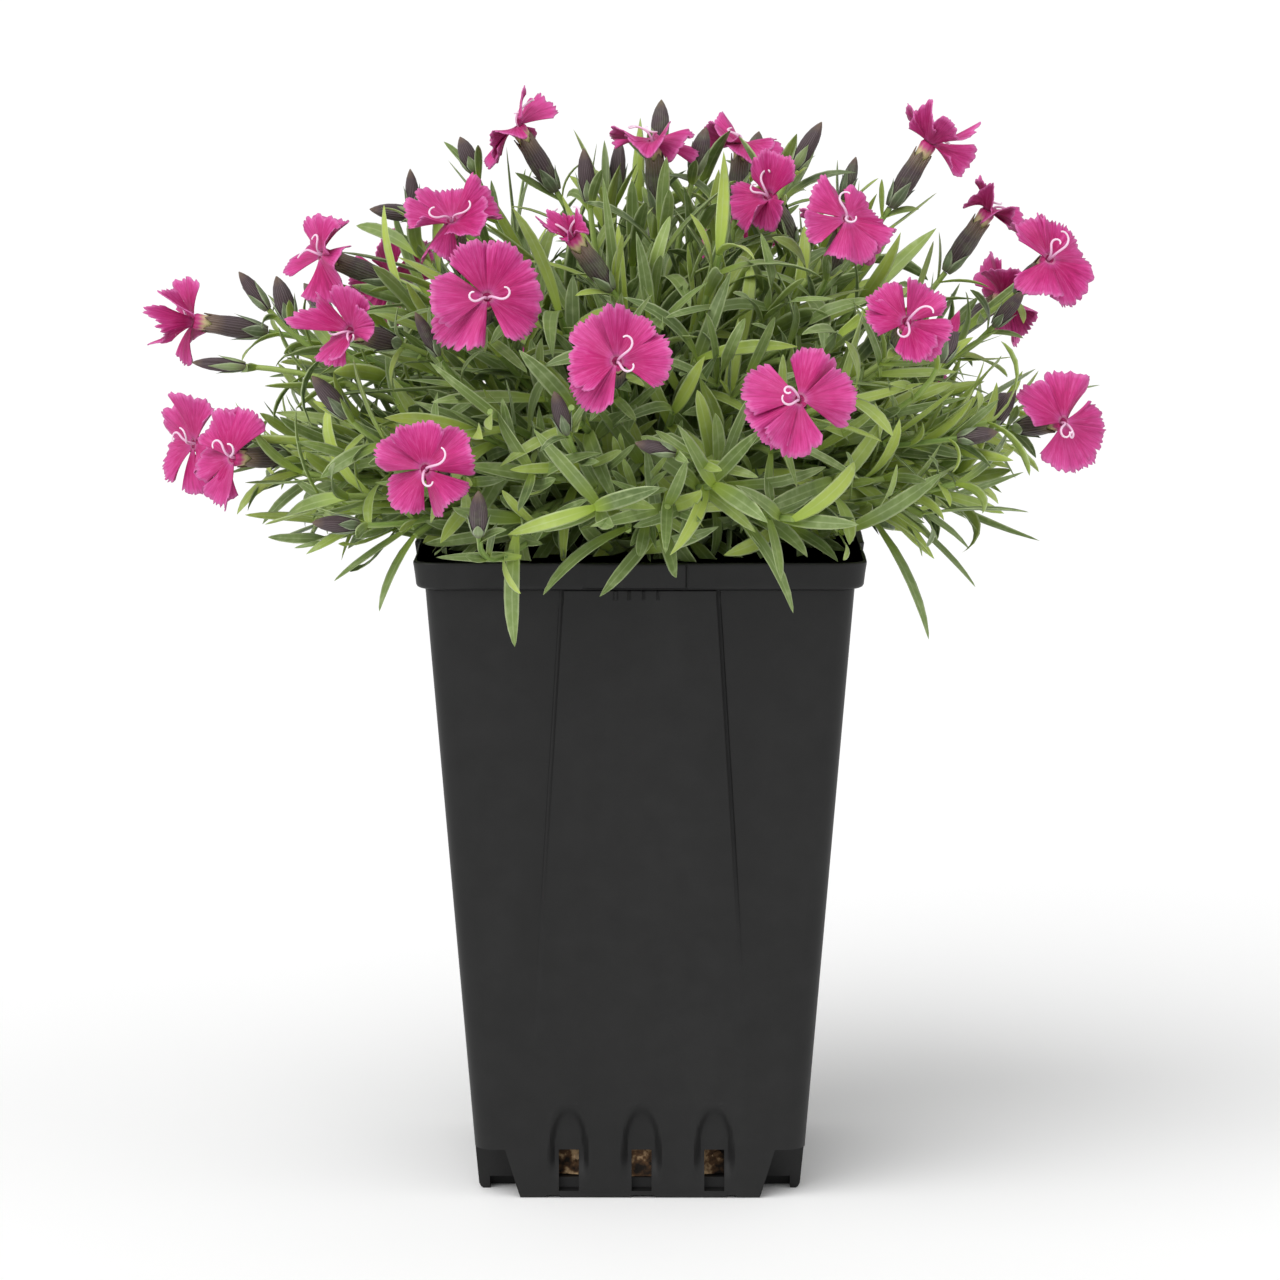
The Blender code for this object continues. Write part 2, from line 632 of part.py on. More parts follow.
def leaf_solid(foot, ahead, up, length, width, bend, outline=LEAF_RINGS, keel=LEAF_KEEL):
    """A narrow leaf, pointed at both ends, with a flat face, a keel and a bend away from up."""
    side = ahead.cross(up).normalized()
    over = side.cross(ahead).normalized()
    points = [foot]
    place = foot
    last = 0.0
    for share, wide in (*outline, (1.0, 0.0)):
        turn = Matrix.Rotation(-bend * (share + last) / 2, 3, side)
        place = place + (turn @ ahead) * length * (share - last)
        last = share
        if wide:
            half = width / 2 * wide
            beneath = Matrix.Rotation(-bend * share, 3, side) @ over * keel * (0.4 + 0.6 * wide)
            points.extend([place - side * half, place + side * half, place - beneath])
    points.append(place)
    tip = len(points) - 1
    faces = []
    for i in range(3):
        j = (i + 1) % 3
        faces.append((0, 1 + j, 1 + i))
        faces.append((tip, tip - 3 + i, tip - 3 + j))
        for low in range(1, tip - 3, 3):
            faces.append((low + i, low + j, low + 3 + j))
            faces.append((low + i, low + 3 + j, low + 3 + i))
    return points, faces


def own_draw(kind, number):
    """The random draws of one bloom, bud or stem, which no other one changes."""
    return random.Random(SEED * 1000 + kind * 100 + number)


def tree_of(solids):
    """A search tree over the faces of several solids."""
    points, faces = [], []
    for solid_points, solid_faces in solids:
        start = len(points)
        points.extend(solid_points)
        faces.extend([[start + i for i in face] for face in solid_faces])
    return BVHTree.FromPolygons(points, faces)


def touches(solid, tree):
    return bool(tree_of([solid]).overlap(tree))


def strays(solid):
    """Whether a leaf reaches past the plant's width or its depth, or hangs down the pot."""
    wide, deep = LEAVES_WITHIN
    near, top = HANGING_WITHIN
    for point in solid[0]:
        if abs(point.x) > wide or abs(point.y) > deep:
            return True
        if point.z < top and max(abs(point.x), abs(point.y)) < near:
            return True
    return False


def crown_root(towards):
    """Where a stem starts in the crown, on the side that it leans to."""
    flat = Vector((towards.x, towards.y, 0.0))
    rise = max(0.0, min(1.0, (towards.z - CROWN_CENTRE.z) / DOME_HEIGHT))
    return CROWN_CENTRE + flat * CROWN_SPREAD + Vector((0.0, 0.0, 10.0 * MM * rise - 4.0 * MM))


def stem_route(end, arrival, draw, tree, radius, count):
    """A curved way from the crown to a place, clear of what is in the tree if it can be."""
    start = crown_root(end)
    span = (end - start).length
    outwards = (end - start).normalized() + Vector((0.0, 0.0, STEM_RISE))
    for attempt in range(STEM_TRIES):
        stray = Vector((draw.uniform(-1, 1), draw.uniform(-1, 1), draw.uniform(-0.3, 1)))
        stray *= span * STEM_STRAY * attempt
        start_pull = start + outwards * span * START_PULL + stray
        end_pull = end - arrival * span * END_PULL + 0.5 * stray
        points = route_points(start, start_pull, end_pull, end, count)
        if not touches(tube(points[:-1], radius + CLEARANCE, STEM_SIDES, 1.0), tree):
            return points
    return None


def try_leaf(point, ahead, across, turn, stem, draw, fixed, grown):
    """A leaf of a stem that is clear of the fixed pieces and crosses nothing grown, or None."""
    spread, scale = stem["spread"], stem["scale"]
    for attempt in range(LEAF_TRIES):
        side = Matrix.Rotation(turn + draw.uniform(-0.25, 0.25) * attempt, 3, ahead) @ across
        lean = math.radians(draw.uniform(*spread) + 3 * attempt)
        way = math.cos(lean) * ahead + math.sin(lean) * side
        up = math.cos(lean) * -side + math.sin(lean) * ahead
        length = draw.uniform(*LEAF_LENGTHS) * scale * (1 - 0.06 * attempt)
        width = draw.uniform(*LEAF_WIDTHS) * min(1.0, 0.4 + 0.6 * scale)
        bend = draw.uniform(*LEAF_BENDS)
        foot = point - way * LEAF_ROOT_SUNK
        leaf = leaf_solid(foot, way, up, length, width, bend)
        if strays(leaf) or touches(leaf, grown):
            continue
        wide, keel = width + 2 * CLEARANCE, LEAF_KEEL + CLEARANCE
        if not touches(leaf_solid(foot, way, up, length + CLEARANCE, wide, bend, keel=keel), fixed):
            return leaf
    return None


def grow_leaves(stem, draw, fixed, others):
    """Opposite pairs of leaves along a stem, each pair a quarter turn from the last."""
    points = stem["points"]
    turn = draw.uniform(0, math.pi)
    last = len(points) - 1
    leaves = []
    for share in stem["nodes"]:
        place = share * last
        low = min(int(place), last - 1)
        point = points[low].lerp(points[low + 1], place - low)
        ahead = (points[low + 1] - points[low]).normalized()
        across = ahead.orthogonal().normalized()
        turn += math.pi / 2 + draw.uniform(-0.3, 0.3)
        grown = tree_of(others + leaves)
        for half in (0, math.pi):
            leaf = try_leaf(point, ahead, across, turn + half, stem, draw, fixed, grown)
            if leaf:
                leaves.append(leaf)
    return leaves


def long_leaf(foot, tip, width, pieces):
    """A leaf that hangs over the rim, on a low shoot of its own."""
    foot, tip = Vector(foot) * MM, Vector(tip) * MM
    start = crown_root(foot)
    rise = Vector((0.0, 0.0, 12.0 * MM))
    points = route_points(start, start.lerp(foot, 0.4) + rise, start.lerp(foot, 0.8) + rise * 0.6, foot, 5)
    pieces.append(tube(points, SHOOT_RADIUS, STEM_SIDES))
    arriving = (points[-1] - points[-2]).normalized()
    span = tip - foot
    way = (0.45 * arriving + 0.75 * span.normalized()).normalized()
    up = Vector((0.0, 0.0, 1.0))
    side = way.cross(up).normalized()
    bend = 2 * math.acos(max(-1.0, min(1.0, way.dot(span.normalized()))))
    root = foot - way * ROOT_SUNK
    over = side.cross(way)
    leaf, faces = leaf_solid(root, way, over, span.length, width * MM, bend, LONG_LEAF_RINGS)
    wanted = tip - root
    reached = leaf[-1] - root
    turn = reached.rotation_difference(wanted).to_matrix() * (wanted.length / reached.length)
    pieces.append(([root + turn @ (point - root) for point in leaf], faces))


def shoot_end(number, draw):
    """A place on the dome, spread evenly by the golden angle from the rim to the top."""
    share = (number + 0.5) / SHOOTS
    low = math.sin(math.radians(SHOOT_LOWEST))
    high = math.sin(math.radians(SHOOT_HIGHEST))
    rise = math.asin(low + (high - low) * share)
    angle = math.radians(GOLDEN_ANGLE * number)
    reach = draw.uniform(*SHOOT_REACH)
    flat = DOME_RADIUS * reach * math.cos(rise)
    top = CROWN_CENTRE.z + DOME_HEIGHT * reach * math.sin(rise)
    return Vector((flat * math.cos(angle), flat * math.sin(angle), top))


def flower_stems(static, blooms, calyces, tree):
    """The stems to the blooms and to the closed buds, and the buds themselves."""
    stems, buds = [], []
    for order, (place, facing, _, _) in enumerate(BLOOMS):
        draw = own_draw(BLOOM_STEM_DRAWS, order)
        axis = Vector(facing).normalized()
        foot = Vector(place) * MM - axis * (NECK_LENGTH + GAP + CALYX_LENGTH + GAP)
        others = tree_of(static + blooms + calyces[:order] + calyces[order + 1:])
        points = stem_route(foot, axis, draw, others, STEM_RADIUS, 5)
        stems.append(new_stem(points, STEM_RADIUS, BLOOM_STEM_LEAVES))
    for order, (place, facing) in enumerate(BUDS):
        draw = own_draw(BUD_DRAWS, order)
        frame = facing_frame(place, facing, draw.uniform(0, math.tau))
        buds.append(placed(bud_solid(BUD_LENGTH * draw.uniform(0.85, 1.2)), frame))
        axis = Vector(facing).normalized()
        points = stem_route(frame.translation, axis, draw, tree, STEM_RADIUS, 4)
        stems.append(new_stem(points, STEM_RADIUS, BUD_STEM_LEAVES))
    return stems, buds


def new_stem(points, radius, leaves):
    """A stem's way and its solid, with how its leaves stand on it."""
    if points is None:
        raise ValueError("a flowering stem has no clear way")
    return {"points": points, "solid": tube(points, radius, STEM_SIDES), **leaves}


def leafy_shoots(tree):
    """The stems that end in leaves only, all over the dome."""
    stems = []
    for number in range(SHOOTS):
        draw = own_draw(SHOOT_DRAWS, number)
        end = shoot_end(number, draw)
        arrival = (end - crown_root(end)).normalized()
        points = stem_route(end, arrival, draw, tree, SHOOT_RADIUS, 4)
        if points:
            stems.append(new_stem(points, SHOOT_RADIUS, SHOOT_LEAVES))
    return stems


def build_plant(parts, blooms, calyces, pot, soil, material):
    """All that is green, and the closed buds, as one grown piece."""
    draw = random.Random(SEED)
    static = [as_solid(pot), as_solid(soil)]
    fixed = tree_of(static + blooms + calyces)
    stems, buds = flower_stems(static, blooms, calyces, fixed)
    hanging = []
    for foot, tip, width in LONG_LEAVES:
        long_leaf(foot, tip, width, hanging)
    stems.extend(leafy_shoots(tree_of(static + blooms + calyces + buds)))
    leaves = []
    for order, stem in enumerate(stems):
        others = [other["solid"] for place, other in enumerate(stems) if place != order]
        leaves.extend(grow_leaves(stem, draw, fixed, others + buds + hanging + leaves))
    pieces = buds + hanging + leaves + [stem["solid"] for stem in stems]
    crown = [circle(radius, z, CROWN_SIDES) for z, radius in CROWN_RINGS]
    plant = add_object("foliage", loft(crown), parts, material)
    group = new_collection("leafy_pieces")
    for number, solid in enumerate(pieces):
        add_object(f"piece_{number}", solid, group)
    boolean(plant, "UNION", group, "MANIFOLD")
    apply_modifiers(plant)
    plant.data.materials.clear()
    plant.data.materials.append(material)
    remove_group(group)
    return plant


def as_solid(item):
    mesh = item.data
    return [vertex.co.copy() for vertex in mesh.vertices], [list(face.vertices) for face in mesh.polygons]


def shade(item, angle=35.0):
    item.data.shade_smooth()
    item.data.set_sharp_from_angle(angle=math.radians(angle))


def main():
    clear_scene()
    parts = new_collection("dianthus_plant")
    cutters = new_collection("cutters")
    materials = {name: new_material(name) for name in COLOURS}
    pot = build_pot(parts, cutters, materials["moulded_black"])
    soil = build_soil(parts, materials["peat"])
    blooms, calyces = [], []
    for number, (place, facing, rise, size) in enumerate(BLOOMS, 1):
        draw = own_draw(BLOOM_DRAWS, number)
        frame = facing_frame(place, facing, draw.uniform(0, math.tau / PETALS))
        blooms.append(placed(bloom_solid(rise, size, draw), frame))
        calyces.append(placed(calyx_solid(), frame))
        add_object(f"bloom_{number:02d}", blooms[-1], parts, materials["petal_pink"])
        shade(add_object(f"calyx_{number:02d}", calyces[-1], parts, materials["calyx_purple"]), 70.0)
    build_plant(parts, blooms, calyces, pot, soil, materials["leaf_green"])
    shade(pot)
    shade(soil)


main()
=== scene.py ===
"""Looks of a dianthus in full bloom in its square black nursery pot.

Metres, +Z up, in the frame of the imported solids. Tables in millimetres say where
each bloom, bud and overhanging leaf is; the leaves' own places are read off the
packed foliage, so the finer blades grow exactly where its plain ones do.
"""
import json
import math
import random

import bmesh
import bpy
import numpy as np
from mathutils import Matrix, Vector
from mathutils.bvhtree import BVHTree
from mathutils.kdtree import KDTree

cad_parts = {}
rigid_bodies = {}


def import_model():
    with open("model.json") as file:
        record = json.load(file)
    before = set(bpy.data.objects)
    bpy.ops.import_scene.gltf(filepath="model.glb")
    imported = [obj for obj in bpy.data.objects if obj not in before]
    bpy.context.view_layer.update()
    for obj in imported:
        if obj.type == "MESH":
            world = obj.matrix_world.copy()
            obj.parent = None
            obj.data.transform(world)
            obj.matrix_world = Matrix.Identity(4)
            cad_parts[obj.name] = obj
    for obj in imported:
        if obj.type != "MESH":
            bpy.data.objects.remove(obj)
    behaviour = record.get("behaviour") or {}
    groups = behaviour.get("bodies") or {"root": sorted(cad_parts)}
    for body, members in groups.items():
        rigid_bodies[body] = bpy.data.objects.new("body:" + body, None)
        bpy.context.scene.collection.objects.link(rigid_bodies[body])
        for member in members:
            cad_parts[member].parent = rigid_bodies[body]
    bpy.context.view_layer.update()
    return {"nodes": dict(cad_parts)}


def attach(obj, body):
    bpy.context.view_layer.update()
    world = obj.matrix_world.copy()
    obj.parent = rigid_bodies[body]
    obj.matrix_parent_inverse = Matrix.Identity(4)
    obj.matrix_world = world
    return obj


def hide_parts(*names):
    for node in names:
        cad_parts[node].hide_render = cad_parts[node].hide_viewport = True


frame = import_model()

MM = 0.001
SEED = 26
BLOOM_DRAWS, BLOOM_STEM_DRAWS, BUD_DRAWS, SHOOT_DRAWS = 1, 2, 3, 4
GAP = 0.3 * MM
# Packed corners closer than this are one corner.
WELD = 0.002 * MM

# Bloom sizes, in the bloom's own frame: it faces +Z and its throat is at the origin.
PETALS = 5
BLOOM_RADIUS = 13.6 * MM
NECK_LENGTH = 3.0 * MM
CALYX_LENGTH = 16.5 * MM
BUD_LENGTH = 14.0 * MM
STEM_RADIUS = 0.9 * MM
PETAL_THICKNESS = 0.26 * MM
# Outer sides as (radius, height) pairs in mm. Heights are from the throat, from the calyx's foot
# upwards, and from its mouth downwards.
THROAT_PROFILE = ((0.2, -1.9), (0.7, -1.1), (1.25, -0.12), (1.75, -0.05), (2.15, -0.8), (2.1, -1.8))
CALYX_PROFILE = ((1.05, 0.0), (1.45, 1.0), (2.00, 2.8), (2.55, 5.5), (2.80, 8.0), (2.75, 10.5), (2.50, 13.0))
CALYX_MOUTH_PROFILE = ((2.35, 1.6), (2.12, 1.62), (1.95, 2.6))
# A closed bud's outer side: share of its length, then share of its girth.
BUD_PROFILE = ((0.0, 0.40), (0.06, 0.56), (0.18, 0.80), (0.34, 0.97), (0.50, 1.0), (0.66, 0.90),
               (0.80, 0.68), (0.92, 0.36), (1.0, 0.06))
# The solids' plain bud: share of its length, and radius.
PLAIN_BUD = ((0, 1.3 * MM), (0.35, 2.7 * MM), (0.75, 1.9 * MM))
# The petals' tip that shows in one bud: its radii from the bottom up, as shares of the bud's girth.
PINK_TIP_GIRTHS = (1.0, 1.05, 0.9, 0.5, 0.1)

# Pot sizes, as the solids have them. A half is half the width across the flats.
POT_HEIGHT = 168.5 * MM
BODY_HALF_AT_FOOT = 41.9 * MM
BODY_TAPER = 0.0779
BODY_CORNER = 5.5 * MM
WALL = 0.9 * MM
COLLAR_HEIGHT = 7.0 * MM
COLLAR_FOOT = POT_HEIGHT - COLLAR_HEIGHT
COLLAR_HALF_LOW, COLLAR_HALF_TOP = 56.7 * MM, 57.5 * MM
COLLAR_CORNER = 6.5 * MM
FOOT_LIP = 1.6 * MM
FLOOR_UNDERSIDE, FLOOR_TOP = 3.5 * MM, 4.5 * MM
SILL_BACKING, BACKED_TO = 7.0 * MM, 27.0 * MM
CRUMBS_UP_TO = 16.0 * MM
NOTCH_HEIGHT = 13.2 * MM
NOTCH_START_TOP, NOTCH_START_FOOT = 35.0 * MM, 30.5 * MM
WINDOW_CENTRES = (-18.5 * MM, 0.4 * MM, 19.3 * MM)
WINDOW_WIDTH = 5.2 * MM
WINDOW_BOTTOM, WINDOW_TOP = 2.0 * MM, 12.7 * MM
SCALLOP_HALF_WIDTH, SCALLOP_TOP, SCALLOP_DEPTH = 5.4 * MM, 25.6 * MM, 2.4 * MM
# The panel's half width at heights, and how far it stands proud there, all in mm.
PANEL_ROWS = ((40.0, 26.6, 0.0), (51.0, 26.0, 0.12), (101.0, 23.0, 0.65), (160.0, 19.2, 0.95))
PANEL_STEP = 0.6 * MM
PAD_LEFT, PAD_RIGHT, PAD_PROUD = -13.0 * MM, 11.5 * MM, 1.2 * MM
# Both ends of each shallow gap in the foot's edge, in mm.
FOOT_RECESSES = ((-24.0, -21.2), (-2.2, 3.6), (22.6, 24.8))
PAD_GROOVES = (-6.1 * MM, 4.7 * MM)
# Heights of the outer skin's rings in mm, closest where the hollows and the collar begin.
BODY_RINGS = (
    1.5, 2.4, 4.0, 6.0, 7.5, 9.0, *range(10, 25), 24.8, 25.5, 26.0, 26.6, 30.0, 36.0, 40.0, 46.0,
    *(51.0 + 6.5 * i for i in range(16)), 154.0, 157.0, 158.6, 159.0, 160.2, 161.1,
)
# The collar's rings: height above its foot and half width, in mm.
COLLAR_RINGS = (
    (-0.35, 54.6), (-0.15, 55.3), (0.05, 56.0), (0.35, 56.45), (0.8, 56.7), (1.6, 56.8), (3.4, 57.0),
    (5.2, 57.25), (6.2, 57.4), (6.6, 57.42), (6.85, 57.3), (7.0, 57.05),
)
RIB_PLACES = (-6.3 * MM, -2.8 * MM, 0.95 * MM, 4.6 * MM)

# Each bloom: place of its throat in mm, the way it faces, the rise of its petals
# in degrees, and its size.
BLOOMS = (
    ((-31.7, -10.0, 276.0), (-0.50, -0.20, 0.84), 12, 0.92),
    ((3.3, -15.0, 272.5), (-0.08, -0.35, 0.93), 10, 0.95),
    ((27.1, 25.0, 270.0), (0.10, 0.10, 0.98), 15, 0.90),
    ((33.0, -18.0, 258.5), (-0.35, -0.70, 0.62), 30, 0.86),
    ((52.3, -42.0, 254.0), (0.20, -0.66, 0.72), 8, 0.92),
    ((75.5, 0.0, 271.5), (0.50, -0.15, 0.84), 18, 0.95),
    ((92.0, 14.0, 253.0), (0.55, -0.15, 0.82), 35, 0.84),
    ((106.0, -12.0, 242.0), (0.35, -0.80, 0.48), 6, 0.98),
    ((65.7, -75.0, 230.7), (0.05, -0.92, 0.38), 10, 0.86),
    ((38.8, -93.0, 213.3), (0.10, -0.94, 0.30), 2, 1.02),
    ((108.5, -30.0, 201.4), (0.55, -0.82, 0.15), 6, 1.00),
    ((-5.6, -93.0, 222.6), (0.05, -0.93, 0.36), 4, 1.00),
    ((-37.6, -75.0, 236.8), (0.10, -0.92, 0.38), 0, 1.06),
    ((-47.3, -47.0, 254.0), (-0.15, -0.62, 0.77), 14, 0.90),
    ((-72.3, -60.0, 227.2), (-0.55, -0.80, 0.22), 38, 0.90),
    ((-82.0, -20.0, 243.5), (-0.88, -0.30, 0.36), 14, 0.92),
    ((-117.0, 0.0, 225.0), (-0.96, -0.20, 0.16), 32, 0.96),
    ((-117.0, -3.0, 192.9), (-0.86, -0.50, 0.06), 12, 0.98),
    ((-104.0, -38.0, 193.0), (-0.66, -0.74, 0.06), 8, 1.00),
    ((-52.5, -88.0, 195.7), (-0.20, -0.95, 0.22), 10, 0.96),
    ((-17.2, -60.0, 251.0), (-0.50, -0.50, 0.70), 62, 0.62),
    ((-68.0, 64.0, 232.0), (-0.52, 0.78, 0.35), 8, 0.98),
    ((-22.0, 93.0, 214.0), (-0.15, 0.93, 0.32), 4, 1.02),
    ((27.0, 82.0, 238.0), (0.15, 0.84, 0.52), 12, 0.95),
    ((74.0, 66.0, 212.0), (0.58, 0.77, 0.25), 2, 1.00),
    ((98.0, 44.0, 228.0), (0.72, 0.50, 0.48), 10, 0.94),
)

# The ways of the five petals of a bloom whose petals stand unevenly, in degrees round its face.
PETAL_WAYS = {
    1: (42, 100, -52, -105, 180), 4: (100, 58, -68, -108, 178), 5: (180, 112, 42, -28, -92),
    6: (150, 92, 222, 276, 10), 7: (158, 100, 228, 290, 20), 8: (124, 70, 0, -62, -122),
    9: (128, 172, 50, -34, -76), 10: (162, 216, 256, 56, 6), 11: (146, 62, -12, -54, -98),
    12: (124, 72, 0, 228, 192), 13: (104, 50, -28, 228, 178), 14: (205, 252, -42, 34, 122),
    17: (0, 62, -62, 124, -124), 18: (74, 138, 210, 250, -30), 19: (124, 84, 176, 224, 262),
    20: (146, 100, 30, -50, 226),
}

# Blooms that are seen from the side: the way in which their petals stand up, and by how many
# degrees more there and less on the other side.
PETAL_TILTS = {
    1: ((0.6, -0.7, 0.4), 40),
    2: ((0.0, -0.95, 0.1), 30),
    3: ((-0.6, 0.6, 0.0), 24),
    6: ((-0.6, -0.7, 0.3), 34),
    7: ((-0.5, -0.8, 0.2), 24),
    16: ((0.2, 0.0, 1.0), 22),
    17: ((0.0, -0.9, 0.1), 32),
}
PINK_TIPPED_BUD = 19

# Each closed bud: place of its foot in mm and the way it points.
BUDS = (
    ((-97.0, -8.0, 229.0), (-0.60, -0.10, 0.80)), ((-92.0, 8.0, 224.0), (-0.30, 0.10, 0.95)),
    ((-58.5, -8.0, 253.0), (-0.08, -0.10, 1.00)), ((-58.0, 3.0, 252.5), (-1.00, -0.05, 0.12)),
    ((-43.5, 6.0, 264.0), (-0.38, 0.00, 0.92)), ((-74.0, -50.0, 205.0), (-0.62, -0.20, 0.76)),
    ((-103.0, -10.0, 214.0), (-0.98, -0.10, 0.08)), ((-50.5, -64.0, 222.0), (-0.35, -0.55, 0.76)),
    ((-39.5, -90.0, 180.0), (0.02, -0.50, 0.87)), ((-13.0, -28.0, 258.0), (-0.10, -0.15, 0.98)),
    ((5.0, 8.0, 270.0), (0.05, 0.15, 0.98)), ((-6.5, 8.0, 257.0), (0.08, 0.10, 0.98)),
    ((14.0, -8.0, 264.0), (0.25, -0.10, 0.96)), ((40.5, 2.0, 265.0), (0.50, -0.05, 0.86)),
    ((54.0, 20.0, 256.0), (0.28, 0.05, 0.95)), ((-18.0, -88.0, 205.0), (-0.20, -0.62, 0.76)),
    ((8.0, -89.0, 200.0), (-0.80, -0.55, 0.25)), ((90.0, -26.0, 200.0), (0.50, -0.35, 0.78)),
    ((81.0, -46.0, 199.0), (0.92, -0.35, 0.18)), ((76.0, -48.0, 219.0), (0.30, -0.25, 0.92)),
    ((93.0, 0.0, 224.0), (0.55, -0.40, 0.72)), ((-71.0, -56.0, 178.0), (-0.90, -0.42, 0.10)),
    ((-33.0, -44.0, 228.0), (0.42, -0.50, 0.76)), ((2.0, 72.0, 236.0), (0.02, 0.60, 0.80)),
    ((52.0, 60.0, 236.0), (0.35, 0.50, 0.79)), ((-84.0, 48.0, 222.0), (-0.60, 0.35, 0.72)),
    ((92.0, 54.0, 196.0), (0.75, 0.55, 0.35)), ((30.0, 46.0, 262.0), (0.20, 0.25, 0.95)),
)
LONG_LEAF_FEET = (
    (-31.0, -66.0, 176.0), (-3.0, -66.0, 178.0), (22.0, -70.0, 184.0), (60.0, -34.0, 176.0),
    (66.0, -24.0, 178.0), (72.0, -40.0, 178.5), (-57.0, -46.0, 174.0), (-58.0, -44.0, 176.0),
    (-20.0, 66.0, 178.0), (24.0, 66.0, 178.0), (62.0, 40.0, 176.0), (-62.0, 34.0, 176.0),
    (97.0, 24.0, 197.0),
)

